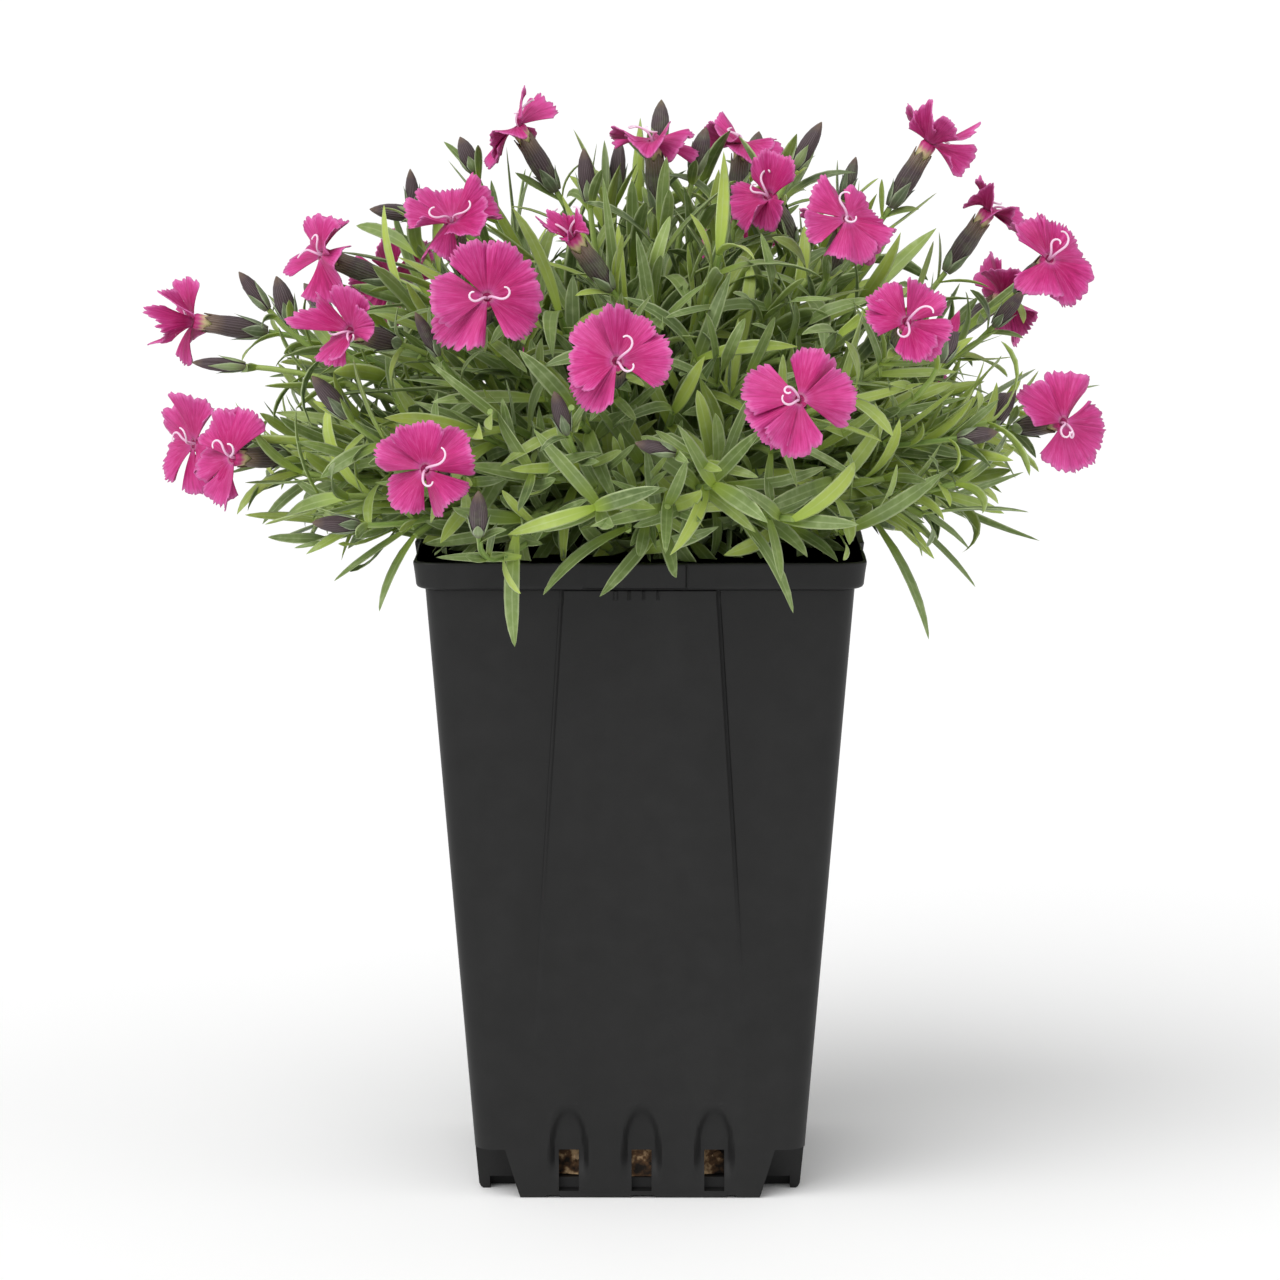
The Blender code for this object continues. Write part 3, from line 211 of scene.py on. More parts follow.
# Shoots that are seen best: the node, then for each leaf its tip, its width, its tone and, where it
# isn't evenly arched, a point on its way. Places and widths are in mm.
SHOWN_SHOOTS = (
    ((19.3, -58.3, 188.2), (
        (18.5, -77.2, 208.4, 3.8, 0.55), (14.1, -75.8, 214, 4, 0.78, 16.4, -71.1, 203.6),
        (-0.5, -81, 200.6, 3.3, 0.4, 8.9, -72.8, 201), (27.7, -73.3, 213, 2.8, 0.34, 22.8, -70.5, 201),
        (31.6, -75.6, 203.3, 2.4, 0.28, 25.3, -70.4, 199),
        (46.1, -72.1, 194.5, 3, 0.34, 33.5, -69.7, 190.2),
        (-1.7, -69.6, 179.2, 3.1, 0.36, 8.4, -75.7, 183.7),
    )),
    ((-12, -59.4, 190.6), (
        (-24.6, -78.3, 200.4, 4.2, 0.16, -18.3, -72.9, 195.3),
        (-1.2, -80.9, 201.1, 2.2, 0.36, -6.9, -74.3, 195.2),
    )),
    ((-0.8, -60.9, 185.9), (
        (6.9, -81.3, 198.5, 1.9, 0.66), (6.9, -82, 194.8, 1.7, 0.5), (6.9, -82.7, 190.2, 1.9, 0.44),
        (-7.1, -82, 194.8, 2.1, 0.3), (-4.2, -81.6, 197.7, 2.3, 0.6),
    )),
    ((-3.8, -60.3, 189.9), ((-6.6, -80.2, 203, 2.3, 0.72), (-4.9, -80.1, 203.8, 2.1, 0.7),)),
    ((1.5, -61.4, 178.9), ((-0.2, -69.6, 171.7, 3.3, 0.4),)),
    ((0.3, -61.2, 183.5), ((14.2, -69.6, 176.2, 2.9, 0.6, 7, -67, 180.6),)),
    ((-24.9, -57.5, 177.5), (
        (-12.8, -82.5, 187.7, 2.3, 0.36, -19.3, -74.2, 183.5),
        (-34.1, -77.7, 189.4, 2.6, 0.9, -29.8, -71.6, 183.7),
    )),
    ((-29.4, -55, 189), (
        (-34.1, -71.9, 211.6, 3.1, 0.36, -31.8, -67.9, 200.8),
        (-20.7, -80.7, 192.5, 3.3, 0.28, -24.8, -72.4, 189.8),
    )),
    ((-27.7, -52.1, 201.6), ((-23.2, -72.9, 216.7, 4.4, 0.28),)),
    ((58.1, -34.2, 188.5), ((58.7, -60, 209.2, 3.1, 0.9),)),
    ((53.2, -40.7, 181.3), (
        (51.2, -68.7, 197.9, 2.3, 0.5, 53.1, -59.6, 192.3),
        (64.3, -61, 194, 2.7, 0.62, 61.4, -54.6, 184.2),
    )),
    ((50.4, -43.4, 174.4), (
        (76, -50.9, 190.4, 4.4, 0.42, 63, -53.4, 182), (41.8, -75.4, 183.6, 1.7, 0.4),
        (50.6, -69.6, 170.9, 2.4, 0.85),
    )),
    ((51.1, -41.7, 188.1), ((31.1, -79, 185.1, 4.4, 0.34, 41.4, -66.8, 187.6),)),
    ((33, -51.8, 195.8), (
        (33.8, -69.6, 181.2, 2.7, 0.34, 31.8, -70.4, 189.5),
        (54.5, -68.2, 191.1, 2.5, 0.42, 41.4, -64.8, 197.9),
    )),
    ((44.6, -47.7, 182.6), ((33.1, -69.6, 181.7, 4, 0.12), (50.5, -69.6, 179.7, 3.8, 0.08),)),
    ((44.6, -44.9, 195.8), ((59, -60.4, 208, 2.7, 0.72),)),
    ((65.1, -21.3, 192), (
        (77.1, -42.5, 208.3, 2.9, 0.76), (81.4, -38.9, 203.9, 2.7, 0.7),
        (62, -54.4, 215.2, 2.1, 0.36, 64, -45.8, 206.1),
    )),
    ((73.1, -13.7, 189.1), ((80, -46.7, 187.3, 2.1, 0.34),)),
    ((66.2, -22.8, 175.5), ((71, -57.2, 170.1, 1.5, 0.55, 69.5, -47.3, 174.4),)),
    ((71.3, -13.7, 177.6), (
        (72, -56.2, 172.5, 2.5, 0.4), (75.2, -53, 173.3, 1.6, 0.5, 73.3, -42.8, 177.7),
    )),
    ((19.4, -49.3, 213), (
        (16.4, -65.4, 232.2, 2.7, 0.45), (26.1, -64, 230.8, 3.1, 0.5, 22.4, -61, 222.6),
        (6.4, -73.5, 220.7, 3.5, 0.3, 10.9, -65.6, 218.5),
    )),
    ((3.8, -45, 222.7), ((1.7, -63, 237.2, 3.5, 0.4),)),
    ((3.1, -35.4, 231.9), ((5.2, -54.8, 245.8, 2.7, 0.5), (7.6, -43, 254.9, 3.5, 0.6, 4, -45.8, 243.5),)),
    ((10.9, -34.6, 231.5), ((16.5, -50.3, 248.3, 2.9, 0.6),)),
    ((-1.8, -19.2, 240.7), ((1.5, -38.1, 258.1, 4, 0.35), (-2, -27.1, 263.1, 3.3, 0.35),)),
    ((30.9, -31.1, 227.2), (
        (23.2, -60.2, 236.7, 3.3, 0.4), (30.5, -42, 250.5, 3.3, 0.45, 33.1, -42.6, 238.7),
        (41.2, -49.5, 239.7, 3.1, 0.7), (48.7, -49.9, 234.5, 2.3, 0.5, 37.8, -45.8, 233.4),
    )),
    ((37.7, -33.4, 221), (
        (58.7, -41.9, 233.9, 3.8, 0.45, 46, -43.5, 230.2), (38.7, -56, 234.4, 2.7, 0.5),
    )),
    ((51.6, -26.6, 213.5), ((53.9, -46, 234.2, 3.3, 0.45),)),
    ((21.9, -30.9, 231.3), ((6.4, -67.4, 231.1, 2.5, 0.3, 14, -56, 232.2),)),
    ((36.1, -37.6, 218), (
        (27.6, -64.5, 229.4, 1.8, 0.35, 32.6, -54.7, 226.6), (34.1, -62.6, 228.7, 2.5, 0.4),
    )),
    ((31.2, -17.3, 234.3), ((24.6, -51.6, 245.1, 2.9, 0.55, 28.8, -40.5, 242.1),)),
    ((42.9, -13.7, 235.9), ((35.8, -33, 253.8, 2.7, 0.35, 38.3, -28.3, 245.4),)),
    ((14.5, -13.7, 247), ((10.2, -30, 261.5, 3.1, 0.6), (20, -34.9, 257.7, 3.6, 0.5),)),
    ((-69.8, -13.7, 172.1), (
        (-102.5, -18.7, 176.1, 2.6, 0.8, -85.5, -19.7, 175.4),
        (-96.6, -18.7, 170.3, 3, 0.3, -82.5, -27.8, 171.2),
        (-88.7, -34.2, 169.4, 1.6, 0.45, -79.5, -33.6, 171.4),
    )),
    ((-62.2, -29.9, 174.1), (
        (-73.1, -55.1, 166, 3.6, 0.34, -67.9, -48.9, 168.2),
        (-76.3, -51.8, 172.7, 2, 0.86, -70.6, -46.1, 172.2),
    )),
)

# Plant: the crown that the stems grow from, and the dome that they fill.
CROWN_CENTRE = Vector((0.0, 0.0, 178.0 * MM))
CROWN_SPREAD = 0.20
DOME_RADIUS = 103.0 * MM
DOME_HEIGHT = 96.0 * MM
SHOOTS = 19
SHOOT_LOWEST, SHOOT_HIGHEST = -2.0, 86.0
SHOOT_REACH = (0.74, 0.90)
GOLDEN_ANGLE = 137.508

# Leafy shoots that the solids don't have: inside the mound, over the rim, and at its two sides.
FILLING_SHOOTS = 120
FILLING_REACH = (0.46, 0.90)
RIM_SHOOTS = 44
FLANK_SHOOTS = 36
# Spacing of leaf pairs in mm, the first pair's place as a share, leaf lengths and widths in mm.
HABITS = {
    "bloom": (14.0, 0.30, (14.0, 25.0), (2.2, 3.2)),
    "bud": (13.0, 0.32, (14.0, 25.0), (2.2, 3.2)),
    "shoot": (7.8, 0.30, (20.0, 32.0), (3.2, 4.6)),
    "filling": (7.8, 0.34, (20.0, 31.0), (3.2, 4.7)),
    "rim": (7.2, 0.30, (16.0, 27.0), (3.1, 4.5)),
    "flank": (8.5, 0.40, (17.0, 28.0), (2.6, 3.8)),
}
SHOOT_RADIUS = 1.0 * MM

# Where a leaf's spine has its points, as shares of its length; a bract has fewer.
SPINE_SHARES = (0.0, 0.12, 0.27, 0.42, 0.57, 0.71, 0.84, 0.94, 1.0)
BRACT_SHARES = (0.0, 0.2, 0.42, 0.64, 0.82, 0.94, 1.0)
UP = Vector((0.0, 0.0, 1.0))
LEAF_WIDEST, LEAF_BLUNT, LEAF_CLEARANCE = 0.42, 3.2, 0.3 * MM

# Camera: focal length and sensor width in mm, tilt in degrees, place in metres. The floor's half
# side is in metres too.
CAMERA_LENS, CAMERA_SENSOR, CAMERA_TILT = 135.23, 36.0, 81.656
CAMERA_PLACE = (0.0, -1.2575, 0.325)
FLOOR_HALF = 60


# ---------------------------------------------------------------- helpers


def hex_linear(code):
    """A colour that is given as an sRGB hex value, as linear red, green, blue and 1."""
    parts = [int(code[i:i + 2], 16) / 255 for i in (0, 2, 4)]
    return (*[c / 12.92 if c <= 0.04045 else ((c + 0.055) / 1.055) ** 2.4 for c in parts], 1.0)


def add(tree, kind, links=None, **settings):
    """A node with its settings; each link names an input and gives a value or what feeds it."""
    made = tree.nodes.new(kind)
    made.location = (200 * (len(tree.nodes) % 12), -260 * (len(tree.nodes) // 12))
    for key, value in settings.items():
        setattr(made, key, value)
    for key, source in (links or {}).items():
        socket = made.inputs[key]
        if isinstance(source, bpy.types.Node):
            source = next(out for out in source.outputs if out.enabled)
        if isinstance(source, bpy.types.NodeSocket):
            tree.links.new(source, socket)
        else:
            socket.default_value = source
    return made


def maths(tree, operation, *values):
    return add(tree, "ShaderNodeMath", dict(enumerate(values)), operation=operation)


def ranged(tree, *values):
    """A value, the range it comes in, and the range it is turned into."""
    return add(tree, "ShaderNodeMapRange", dict(enumerate(values)))


def blend(tree, share, *colours):
    """One colour over another by a share; a hex value stands for a colour."""
    first, second = (hex_linear(one) if isinstance(one, str) else one for one in colours)
    return add(tree, "ShaderNodeMix", {0: share, 6: first, 7: second}, data_type="RGBA").outputs[2]


def ramped(tree, value, *stops):
    """A colour ramp through (place, hex value) pairs, which run from its first place to its last."""
    made = add(tree, "ShaderNodeValToRGB", {"Fac": value})
    ramp = made.color_ramp
    for element, (place, code) in zip(ramp.elements, (stops[0], stops[-1])):
        element.position = place
        element.color = hex_linear(code)
    for place, code in stops[1:-1]:
        ramp.elements.new(place).color = hex_linear(code)
    return made


def stored(tree, *labels):
    """What a mesh has stored for its material under each label."""
    return [add(tree, "ShaderNodeAttribute", attribute_name=label).outputs["Fac"] for label in labels]


def own_place(tree):
    return add(tree, "ShaderNodeTexCoord").outputs["Object"]


def noise(tree, where, scale, detail, **more):
    """A noise texture; its first output is its strength."""
    return add(tree, "ShaderNodeTexNoise", {"Vector": where, "Scale": scale, "Detail": detail, **more})


def line_noise(tree, where, scale):
    """Noise along a line, as a number that says where on it."""
    values = {"W": where, "Scale": scale, "Detail": 1.0}
    return add(tree, "ShaderNodeTexNoise", values, noise_dimensions="1D")


def finished(material, colour, height=None, strength=0.0, distance=0.0):
    """Joins a colour, and a relief if there is one, to the material's shader."""
    tree = material.node_tree
    shader = tree.nodes["Principled BSDF"]
    if height:
        bump = add(tree, "ShaderNodeBump", {"Height": height, "Strength": strength, "Distance": distance})
    if isinstance(colour, bpy.types.Node):
        colour = colour.outputs["Color"]
    tree.links.new(colour, shader.inputs["Base Color"])
    if height:
        tree.links.new(bump.outputs["Normal"], shader.inputs["Normal"])
    return material


def named(tree, label, kind="FLOAT"):
    """What a mesh has stored under a label, inside a tree that shapes it."""
    return add(tree, "GeometryNodeInputNamedAttribute", {"Name": label}, data_type=kind).outputs[0]


def new_tree(name, **values):
    """A tree with a mesh, numbers and a material coming in; and the sockets that give them."""
    tree = bpy.data.node_groups.new(name, "GeometryNodeTree")
    tree.interface.new_socket("Geometry", in_out="INPUT", socket_type="NodeSocketGeometry")
    for label, value in values.items():
        kind = "NodeSocketInt" if isinstance(value, int) else "NodeSocketFloat"
        socket = tree.interface.new_socket(label.replace("_", " "), in_out="INPUT", socket_type=kind)
        socket.default_value = value
    tree.interface.new_socket("Material", in_out="INPUT", socket_type="NodeSocketMaterial")
    tree.interface.new_socket("Geometry", in_out="OUTPUT", socket_type="NodeSocketGeometry")
    return tree, add(tree, "NodeGroupInput").outputs


def labelled(tree, shape, label, value, **settings):
    links = {"Geometry": shape, "Name": label, "Value": value}
    return add(tree, "GeometryNodeStoreNamedAttribute", links, **settings)


def random_value(tree, low, high, seed):
    """A random number, or a random vector, for each piece."""
    first, kind = (0, "FLOAT_VECTOR") if isinstance(low, tuple) else (2, "FLOAT")
    values = {first: low, first + 1: high, "Seed": seed}
    return add(tree, "FunctionNodeRandomValue", values, data_type=kind).outputs[first // 2]


def ended(tree, given, shape, smooth=True):
    """Gives what a tree has made its material and hands it out as one plain shape."""
    if smooth:
        shape = add(tree, "GeometryNodeSetShadeSmooth", {"Geometry": shape})
    coloured = add(tree, "GeometryNodeSetMaterial", {"Geometry": shape, "Material": given["Material"]})
    real = add(tree, "GeometryNodeRealizeInstances", {"Geometry": coloured})
    add(tree, "NodeGroupOutput", {"Geometry": real})
    return tree


def new_object(name, mesh):
    item = bpy.data.objects.new(name, mesh)
    bpy.context.scene.collection.objects.link(item)
    return item


def mesh_of(name, solid):
    points, faces = solid
    mesh = bpy.data.meshes.new(name)
    mesh.from_pydata([tuple(point) for point in points], [], faces)
    return mesh


def store(mesh, **rows):
    """Stores a number for each point of a mesh under each label."""
    for label, values in rows.items():
        data = mesh.attributes.new(label, "FLOAT", "POINT").data
        data.foreach_set("value", np.array(values, dtype=np.float32))
    return mesh


def plain(item):
    """Keeps what the object's modifiers make as its own mesh."""
    bpy.context.view_layer.update()
    graph = bpy.context.evaluated_depsgraph_get()
    made = bpy.data.meshes.new_from_object(
        item.evaluated_get(graph), preserve_all_data_layers=True, depsgraph=graph)
    item.modifiers.clear()
    item.data = made
    return item


def grown(name, mesh, tree, values, thickness=None):
    """The plain object that a tree makes from a mesh, with a wall if a thickness is given."""
    item = new_object(name, mesh)
    modifier = item.modifiers.new("shape", "NODES")
    modifier.node_group = tree
    for socket in tree.interface.items_tree:
        if socket.in_out == "INPUT" and socket.name in values:
            modifier[socket.identifier] = values[socket.name]
    if thickness:
        wall = item.modifiers.new("wall", "SOLIDIFY")
        wall.thickness = thickness
        wall.offset = 0.0
    return plain(item)


def joined(name, items):
    """Several objects as one."""
    first = items[0]
    with bpy.context.temp_override(active_object=first, selected_editable_objects=items, object=first):
        bpy.ops.object.join()
    first.name = name
    return first


def stand_in(piece, slot, *nodes):
    """The piece stands for CAD nodes: it joins the root body and hides them. The slot is not used."""
    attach(piece, "root")
    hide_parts(*nodes)


# ---------------------------------------------------------------- ways of growing


def own_draw(kind, number):
    """The random draws of one bloom, bud or stem, which no other one changes."""
    return random.Random(SEED * 1000 + kind * 100 + number)


def loft(rings):
    count = len(rings[0])
    points = [point for ring in rings for point in ring]
    faces = [list(range(count))]
    for level in range(len(rings) - 1):
        low, high = level * count, (level + 1) * count
        for i in range(count):
            j = (i + 1) % count
            faces.append((low + i, low + j, high + j, high + i))
    faces.append(list(range(len(points) - count, len(points))))
    return points, faces


def circle(radius, z, sides):
    angles = [math.tau * i / sides for i in range(sides)]
    return [Vector((radius * math.cos(angle), radius * math.sin(angle), z)) for angle in angles]


def level_way(angle):
    """The level way at an angle round the middle."""
    return Vector((math.cos(angle), math.sin(angle), 0.0))


def left_way(angle):
    """The level way a quarter turn on from an angle."""
    return Vector((-math.sin(angle), math.cos(angle), 0.0))


def ahead_at(points, i):
    """The way in which a run of points goes on at one of them."""
    return (points[min(i + 1, len(points) - 1)] - points[max(i - 1, 0)]).normalized()


def box_ring(left, right, near, far, z):
    """The four corners of a box at a height."""
    return [Vector((x, y, z)) for x, y in ((left, near), (right, near), (right, far), (left, far))]


def facing_frame(place, facing, roll):
    """The matrix that turns +Z to the way a bloom faces and moves it to its place."""
    turn = Vector(facing).normalized().to_track_quat("Z", "Y").to_matrix().to_4x4()
    return Matrix.Translation(Vector(place) * MM) @ turn @ Matrix.Rotation(roll, 4, "Z")


def placed(solid, where):
    points, faces = solid
    return [where @ point for point in points], faces


def bezier(start, start_pull, end_pull, end, t):
    u = 1 - t
    return u ** 3 * start + 3 * u * u * t * start_pull + 3 * u * t * t * end_pull + t ** 3 * end


def tube(points, radius, sides):
    """A round bar along a run of points."""
    rings = []
    aside = Vector((0.31, 0.47, 0.83))
    for i, point in enumerate(points):
        ahead = ahead_at(points, i)
        across = (aside - aside.dot(ahead) * ahead).normalized()
        over = ahead.cross(across)
        angles = [math.tau * side / sides for side in range(sides)]
        rings.append([point + radius * (math.cos(a) * across + math.sin(a) * over) for a in angles])
    return loft(rings)


def tree_of(solids):
    points, faces = [], []
    for solid_points, solid_faces in solids:
        start = len(points)
        points.extend(solid_points)
        faces.extend([[start + i for i in face] for face in solid_faces])
    return BVHTree.FromPolygons(points, faces)


def touches(solid, tree):
    return bool(tree_of([solid]).overlap(tree))


def crown_root(towards):
    flat = Vector((towards.x, towards.y, 0.0))
    rise = max(0.0, min(1.0, (towards.z - CROWN_CENTRE.z) / DOME_HEIGHT))
    return CROWN_CENTRE + flat * CROWN_SPREAD + Vector((0.0, 0.0, 10.0 * MM * rise - 4.0 * MM))


def stem_route(end, arrival, draw, tree, radius, count, finer=13):
    """A curved way from the crown to a place, clear of what is in the tree if it can be."""
    start = crown_root(end)
    span = (end - start).length
    outwards = (end - start).normalized() + Vector((0.0, 0.0, 0.35))
    for attempt in range(24):
        stray = Vector((draw.uniform(-1, 1), draw.uniform(-1, 1), draw.uniform(-0.3, 1)))
        stray *= span * 0.025 * attempt
        leave, arrive = start + outwards * span * 0.36 + stray, end - arrival * span * 0.30 + 0.5 * stray
        pulls = (start, leave, arrive, end)
        points = [bezier(*pulls, i / (count - 1)) for i in range(count)]
        if not touches(tube(points[:-1], radius + 0.5 * MM, 3), tree):
            return [bezier(*pulls, i / (finer - 1)) for i in range(finer)]
    return None


def shoot_end(number, draw, count, reach):
    """A place on the dome, spread evenly by the golden angle from the rim to the top."""
    share = (number + 0.5) / count
    low, high = math.sin(math.radians(SHOOT_LOWEST)), math.sin(math.radians(SHOOT_HIGHEST))
    rise = math.asin(low + (high - low) * share)
    angle = math.radians(GOLDEN_ANGLE * number)
    out = draw.uniform(*reach)
    flat = DOME_RADIUS * out * math.cos(rise)
    height = CROWN_CENTRE.z + DOME_HEIGHT * out * math.sin(rise)
    return Vector((flat * math.cos(angle), flat * math.sin(angle), height))


def as_solid(item):
    mesh = item.data
    return [vertex.co.copy() for vertex in mesh.vertices], [list(face.vertices) for face in mesh.polygons]


# ---------------------------------------------------------------- materials


def new_material(name, **values):
    """A material, its node tree, and its shader with the values that are given."""
    material = bpy.data.materials.new(name)
    material.use_nodes = True
    tree = material.node_tree
    for label, value in values.items():
        tree.nodes["Principled BSDF"].inputs[label.replace("_", " ")].default_value = value
    return material, tree


def moulded_polypropylene():
    """Black polypropylene, injection moulded: satin, with a fine grain and faint flow streaks."""
    material, tree = new_material(
        "moulded_black_polypropylene", IOR=1.49, Roughness=0.50, Specular_IOR_Level=0.28)
    where = own_place(tree)
    stretched = add(tree, "ShaderNodeMapping", {"Vector": where, "Scale": (60.0, 60.0, 9.0)})
    streaks = noise(tree, stretched, 1.0, 4.0)
    mottle = noise(tree, where, 140.0, 3.0)
    mixed = maths(tree, "MULTIPLY", streaks, mottle)
    colour = ramped(tree, mixed, (0.12, "171717"), (0.42, "1D1D1D"))
    # Grain about 0.35 mm across, drawn coarser than the real spark-eroded one so that it shows.
    grain = noise(tree, where, 2600.0, 2.0)
    return finished(material, colour, grain, 0.10, 0.0002)


def peat():
    """Damp peat with bark crumb: dark, matt and uneven, with paler dry bits."""
    material, tree = new_material("damp_peat_and_bark", Roughness=0.95)
    lumps = noise(tree, own_place(tree), 330.0, 5.0)
    colour = ramped(tree, lumps, (0.40, "17100A"), (0.53, "5A4028"), (0.68, "D8B88C"))
    return finished(material, colour, lumps, 0.7, 0.0008)


def bark_chip():
    """Bark and coir crumb: matt fibres from near black to straw, one tone for each chip."""
    material, tree = new_material("bark_and_coir_crumb", Roughness=0.9)
    tone, = stored(tree, "tone")
    colour = ramped(tree, tone, (0.0, "2A1D12"), (0.50, "7A5C3E"), (1.0, "E6CBA2"))
    fibres = noise(tree, own_place(tree), 900.0, 3.0)
    return finished(material, colour, fibres, 0.5, 0.0003)


def leaf_cuticle(name, dark, middle, light, root_tone, pale_tone):
    """A waxy leaf or stem: satin cuticle, one tone for each, with a pale midrib and margins."""
    material, tree = new_material(
        name, IOR=1.42, Roughness=0.46,
        Sheen_Weight=0.12, Sheen_Roughness=0.45, Sheen_Tint=hex_linear("E6F0E2"))
    tone, across, along = stored(tree, "tone", "across", "along")
    where = own_place(tree)
    shift = maths(tree, "MULTIPLY_ADD", noise(tree, where, 160.0, 3.0), 0.35, -0.175)
    value = maths(tree, "ADD", tone, shift)
    colour = ramped(tree, value, (0.0, dark), (0.5, middle), (1.0, light))
    side = maths(tree, "ABSOLUTE", across)
    margin = ranged(tree, side, 0.72, 0.96, 0.0, 0.74)
    rib = ranged(tree, side, 0.0, 0.14, 0.30, 0.0)
    marked_out = maths(tree, "ADD", margin, rib)
    # Wax lies on the blade in patches, mostly on its outer half.
    waxed = ranged(tree, noise(tree, where, 420.0, 5.0), 0.48, 0.72, 0.0, 0.36)
    outer = maths(tree, "MULTIPLY", waxed, along)
    veined = blend(tree, maths(tree, "ADD", marked_out, outer), colour, pale_tone)
    rooted = blend(tree, ranged(tree, along, 0.0, 0.42), root_tone, veined)
    return finished(material, rooted, noise(tree, where, 1500.0, 2.0), 0.12, 0.0002)


def petal_velvet():
    """A pink's petal: matt and velvety, with fine veins fanning out, deepest at the throat."""
    material, tree = new_material(
        "petal_velvet_pink", IOR=1.40, Roughness=0.62,
        Sheen_Weight=0.10, Sheen_Roughness=0.40, Sheen_Tint=hex_linear("F6B4DC"))
    across, along, tone = stored(tree, "across", "along", "tone")
    colour = ramped(tree, along, (0.0, "C77FA0"), (0.07, "B6387E"), (0.20, "AC0D60"),
                    (0.55, "B8166E"), (0.88, "C43686"), (1.0, "D46EAC"))
    # About 26 veins cross a petal 14 mm wide, so they stand half a millimetre apart.
    fan = maths(tree, "MULTIPLY", across, 82.0)
    bent = maths(tree, "MULTIPLY_ADD", line_noise(tree, fan, 0.35), 5.0, fan)
    lines = maths(tree, "SINE", bent)
    veined = blend(tree, ranged(tree, lines, 0.35, 1.0, 0.0, 0.30), colour, "98104F")
    # Streaks run out with the veins, some paler and some deeper than the petal.
    ways = zip("XYZ", (across, along, tone), (11.0, 2.6, 37.0))
    streak_at = {axis: maths(tree, "MULTIPLY", value, scale) for axis, value, scale in ways}
    streaks = noise(tree, add(tree, "ShaderNodeCombineXYZ", streak_at), 1.0, 6.0, Roughness=0.62)
    deepened = blend(tree, ranged(tree, streaks, 0.30, 0.48, 0.70, 0.0), veined, "940A52")
    patch = noise(tree, own_place(tree), 210.0, 3.0)
    lift = maths(tree, "MULTIPLY", patch, tone)
    fleck = ranged(tree, streaks, 0.50, 0.72, 0.0, 0.36)
    light = ranged(tree, lift, 0.15, 0.65, 0.0, 0.24)
    varied = blend(tree, maths(tree, "ADD", fleck, light), deepened, "D869AC")
    return finished(material, varied, lines, 0.25, 0.0001)


def neck_green():
    """The neck between calyx and petals: soft and pale, from yellow green up to pink."""
    material, tree = new_material("neck_pale_yellow_green", Roughness=0.55, IOR=1.40)
    along, across = stored(tree, "along", "across")
    ribs = maths(tree, "SINE", maths(tree, "MULTIPLY", across, 31.4))
    shift = maths(tree, "MULTIPLY_ADD", ribs, 0.06, along)
    colour = ramped(tree, shift, (0.0, "B01C66"), (0.22, "C24A86"), (0.50, "CDB890"), (1.0, "B9C27C"))
    return finished(material, colour, ribs, 0.3, 0.0001)


def style_white():
    """The curled styles: moist, pinkish white, a little darker towards the throat."""
    material, tree = new_material("style_pinkish_white", Roughness=0.40, IOR=1.38)
    along, = stored(tree, "along")
    return finished(material, ramped(tree, along, (0.0, "D58FBC"), (1.0, "F6E2F0")))


def calyx_skin():
    """Calyx and bud skin: smooth, ribbed lengthwise, purple-brown over green."""
    material, tree = new_material("calyx_purple_over_green", Roughness=0.46, IOR=1.42)
    along, across, tone = stored(tree, "along", "across", "tone")
    where = own_place(tree)
    blotch = noise(tree, where, 420.0, 4.0)
    patch = noise(tree, where, 60.0, 2.0)
    green = maths(tree, "ADD", maths(tree, "ADD", blotch, patch), tone)
    skin = blend(tree, ranged(tree, green, 1.25, 1.85), "483A3D", "6C7855")
    # Near the mouth the skin is blended to pale tan: a painted highlight where the calyx's top catches the
    # light.
    mixed = blend(tree, ranged(tree, along, 0.0, 0.22, 0.55, 0.0), skin, "8A7458")
    ribs = maths(tree, "SINE", maths(tree, "MULTIPLY", across, 75.4))
    lined = blend(tree, ranged(tree, ribs, 0.2, 1.0, 0.0, 0.30), mixed, "8C7F84")
    return finished(material, lined, ribs, 0.5, 0.00015)


# ---------------------------------------------------------------- trees that make the pieces


def blade_tree():
    """Leaves along spines: a channelled section swept along each, as wide as the spine says."""
    tree, given = new_tree("leaf_blades", Ring_Points=8, Thickness=0.12, Channel=0.30)
    ring = add(tree, "GeometryNodeCurvePrimitiveCircle", {
        "Resolution": given["Ring Points"], "Radius": 1.0,
    })
    parts = add(tree, "ShaderNodeSeparateXYZ", {0: add(tree, "GeometryNodeInputPosition")}).outputs
    squared = maths(tree, "MULTIPLY", parts["X"], parts["X"])
    dip = maths(tree, "MULTIPLY", squared, given["Channel"])
    body = maths(tree, "MULTIPLY", parts["Y"], given["Thickness"])
    height = maths(tree, "ADD", dip, body)
    flat = add(tree, "ShaderNodeCombineXYZ", {"X": parts["X"], "Y": height})
    marked = labelled(tree, ring, "across", parts["X"])
    section = add(tree, "GeometryNodeSetPosition", {"Geometry": marked, "Position": flat})
    spine = add(tree, "GeometryNodeMeshToCurve", {"Mesh": given["Geometry"]})
    aside = named(tree, "aside", "FLOAT_VECTOR")
    turned = add(tree, "GeometryNodeSetCurveNormal", {"Curve": spine}, mode="FREE")
    tree.links.new(aside, turned.inputs["Normal"])
    half = named(tree, "half")
    swept = add(tree, "GeometryNodeCurveToMesh", {
        "Curve": turned, "Profile Curve": section, "Scale": half, "Fill Caps": True,
    })
    return ended(tree, given, swept)


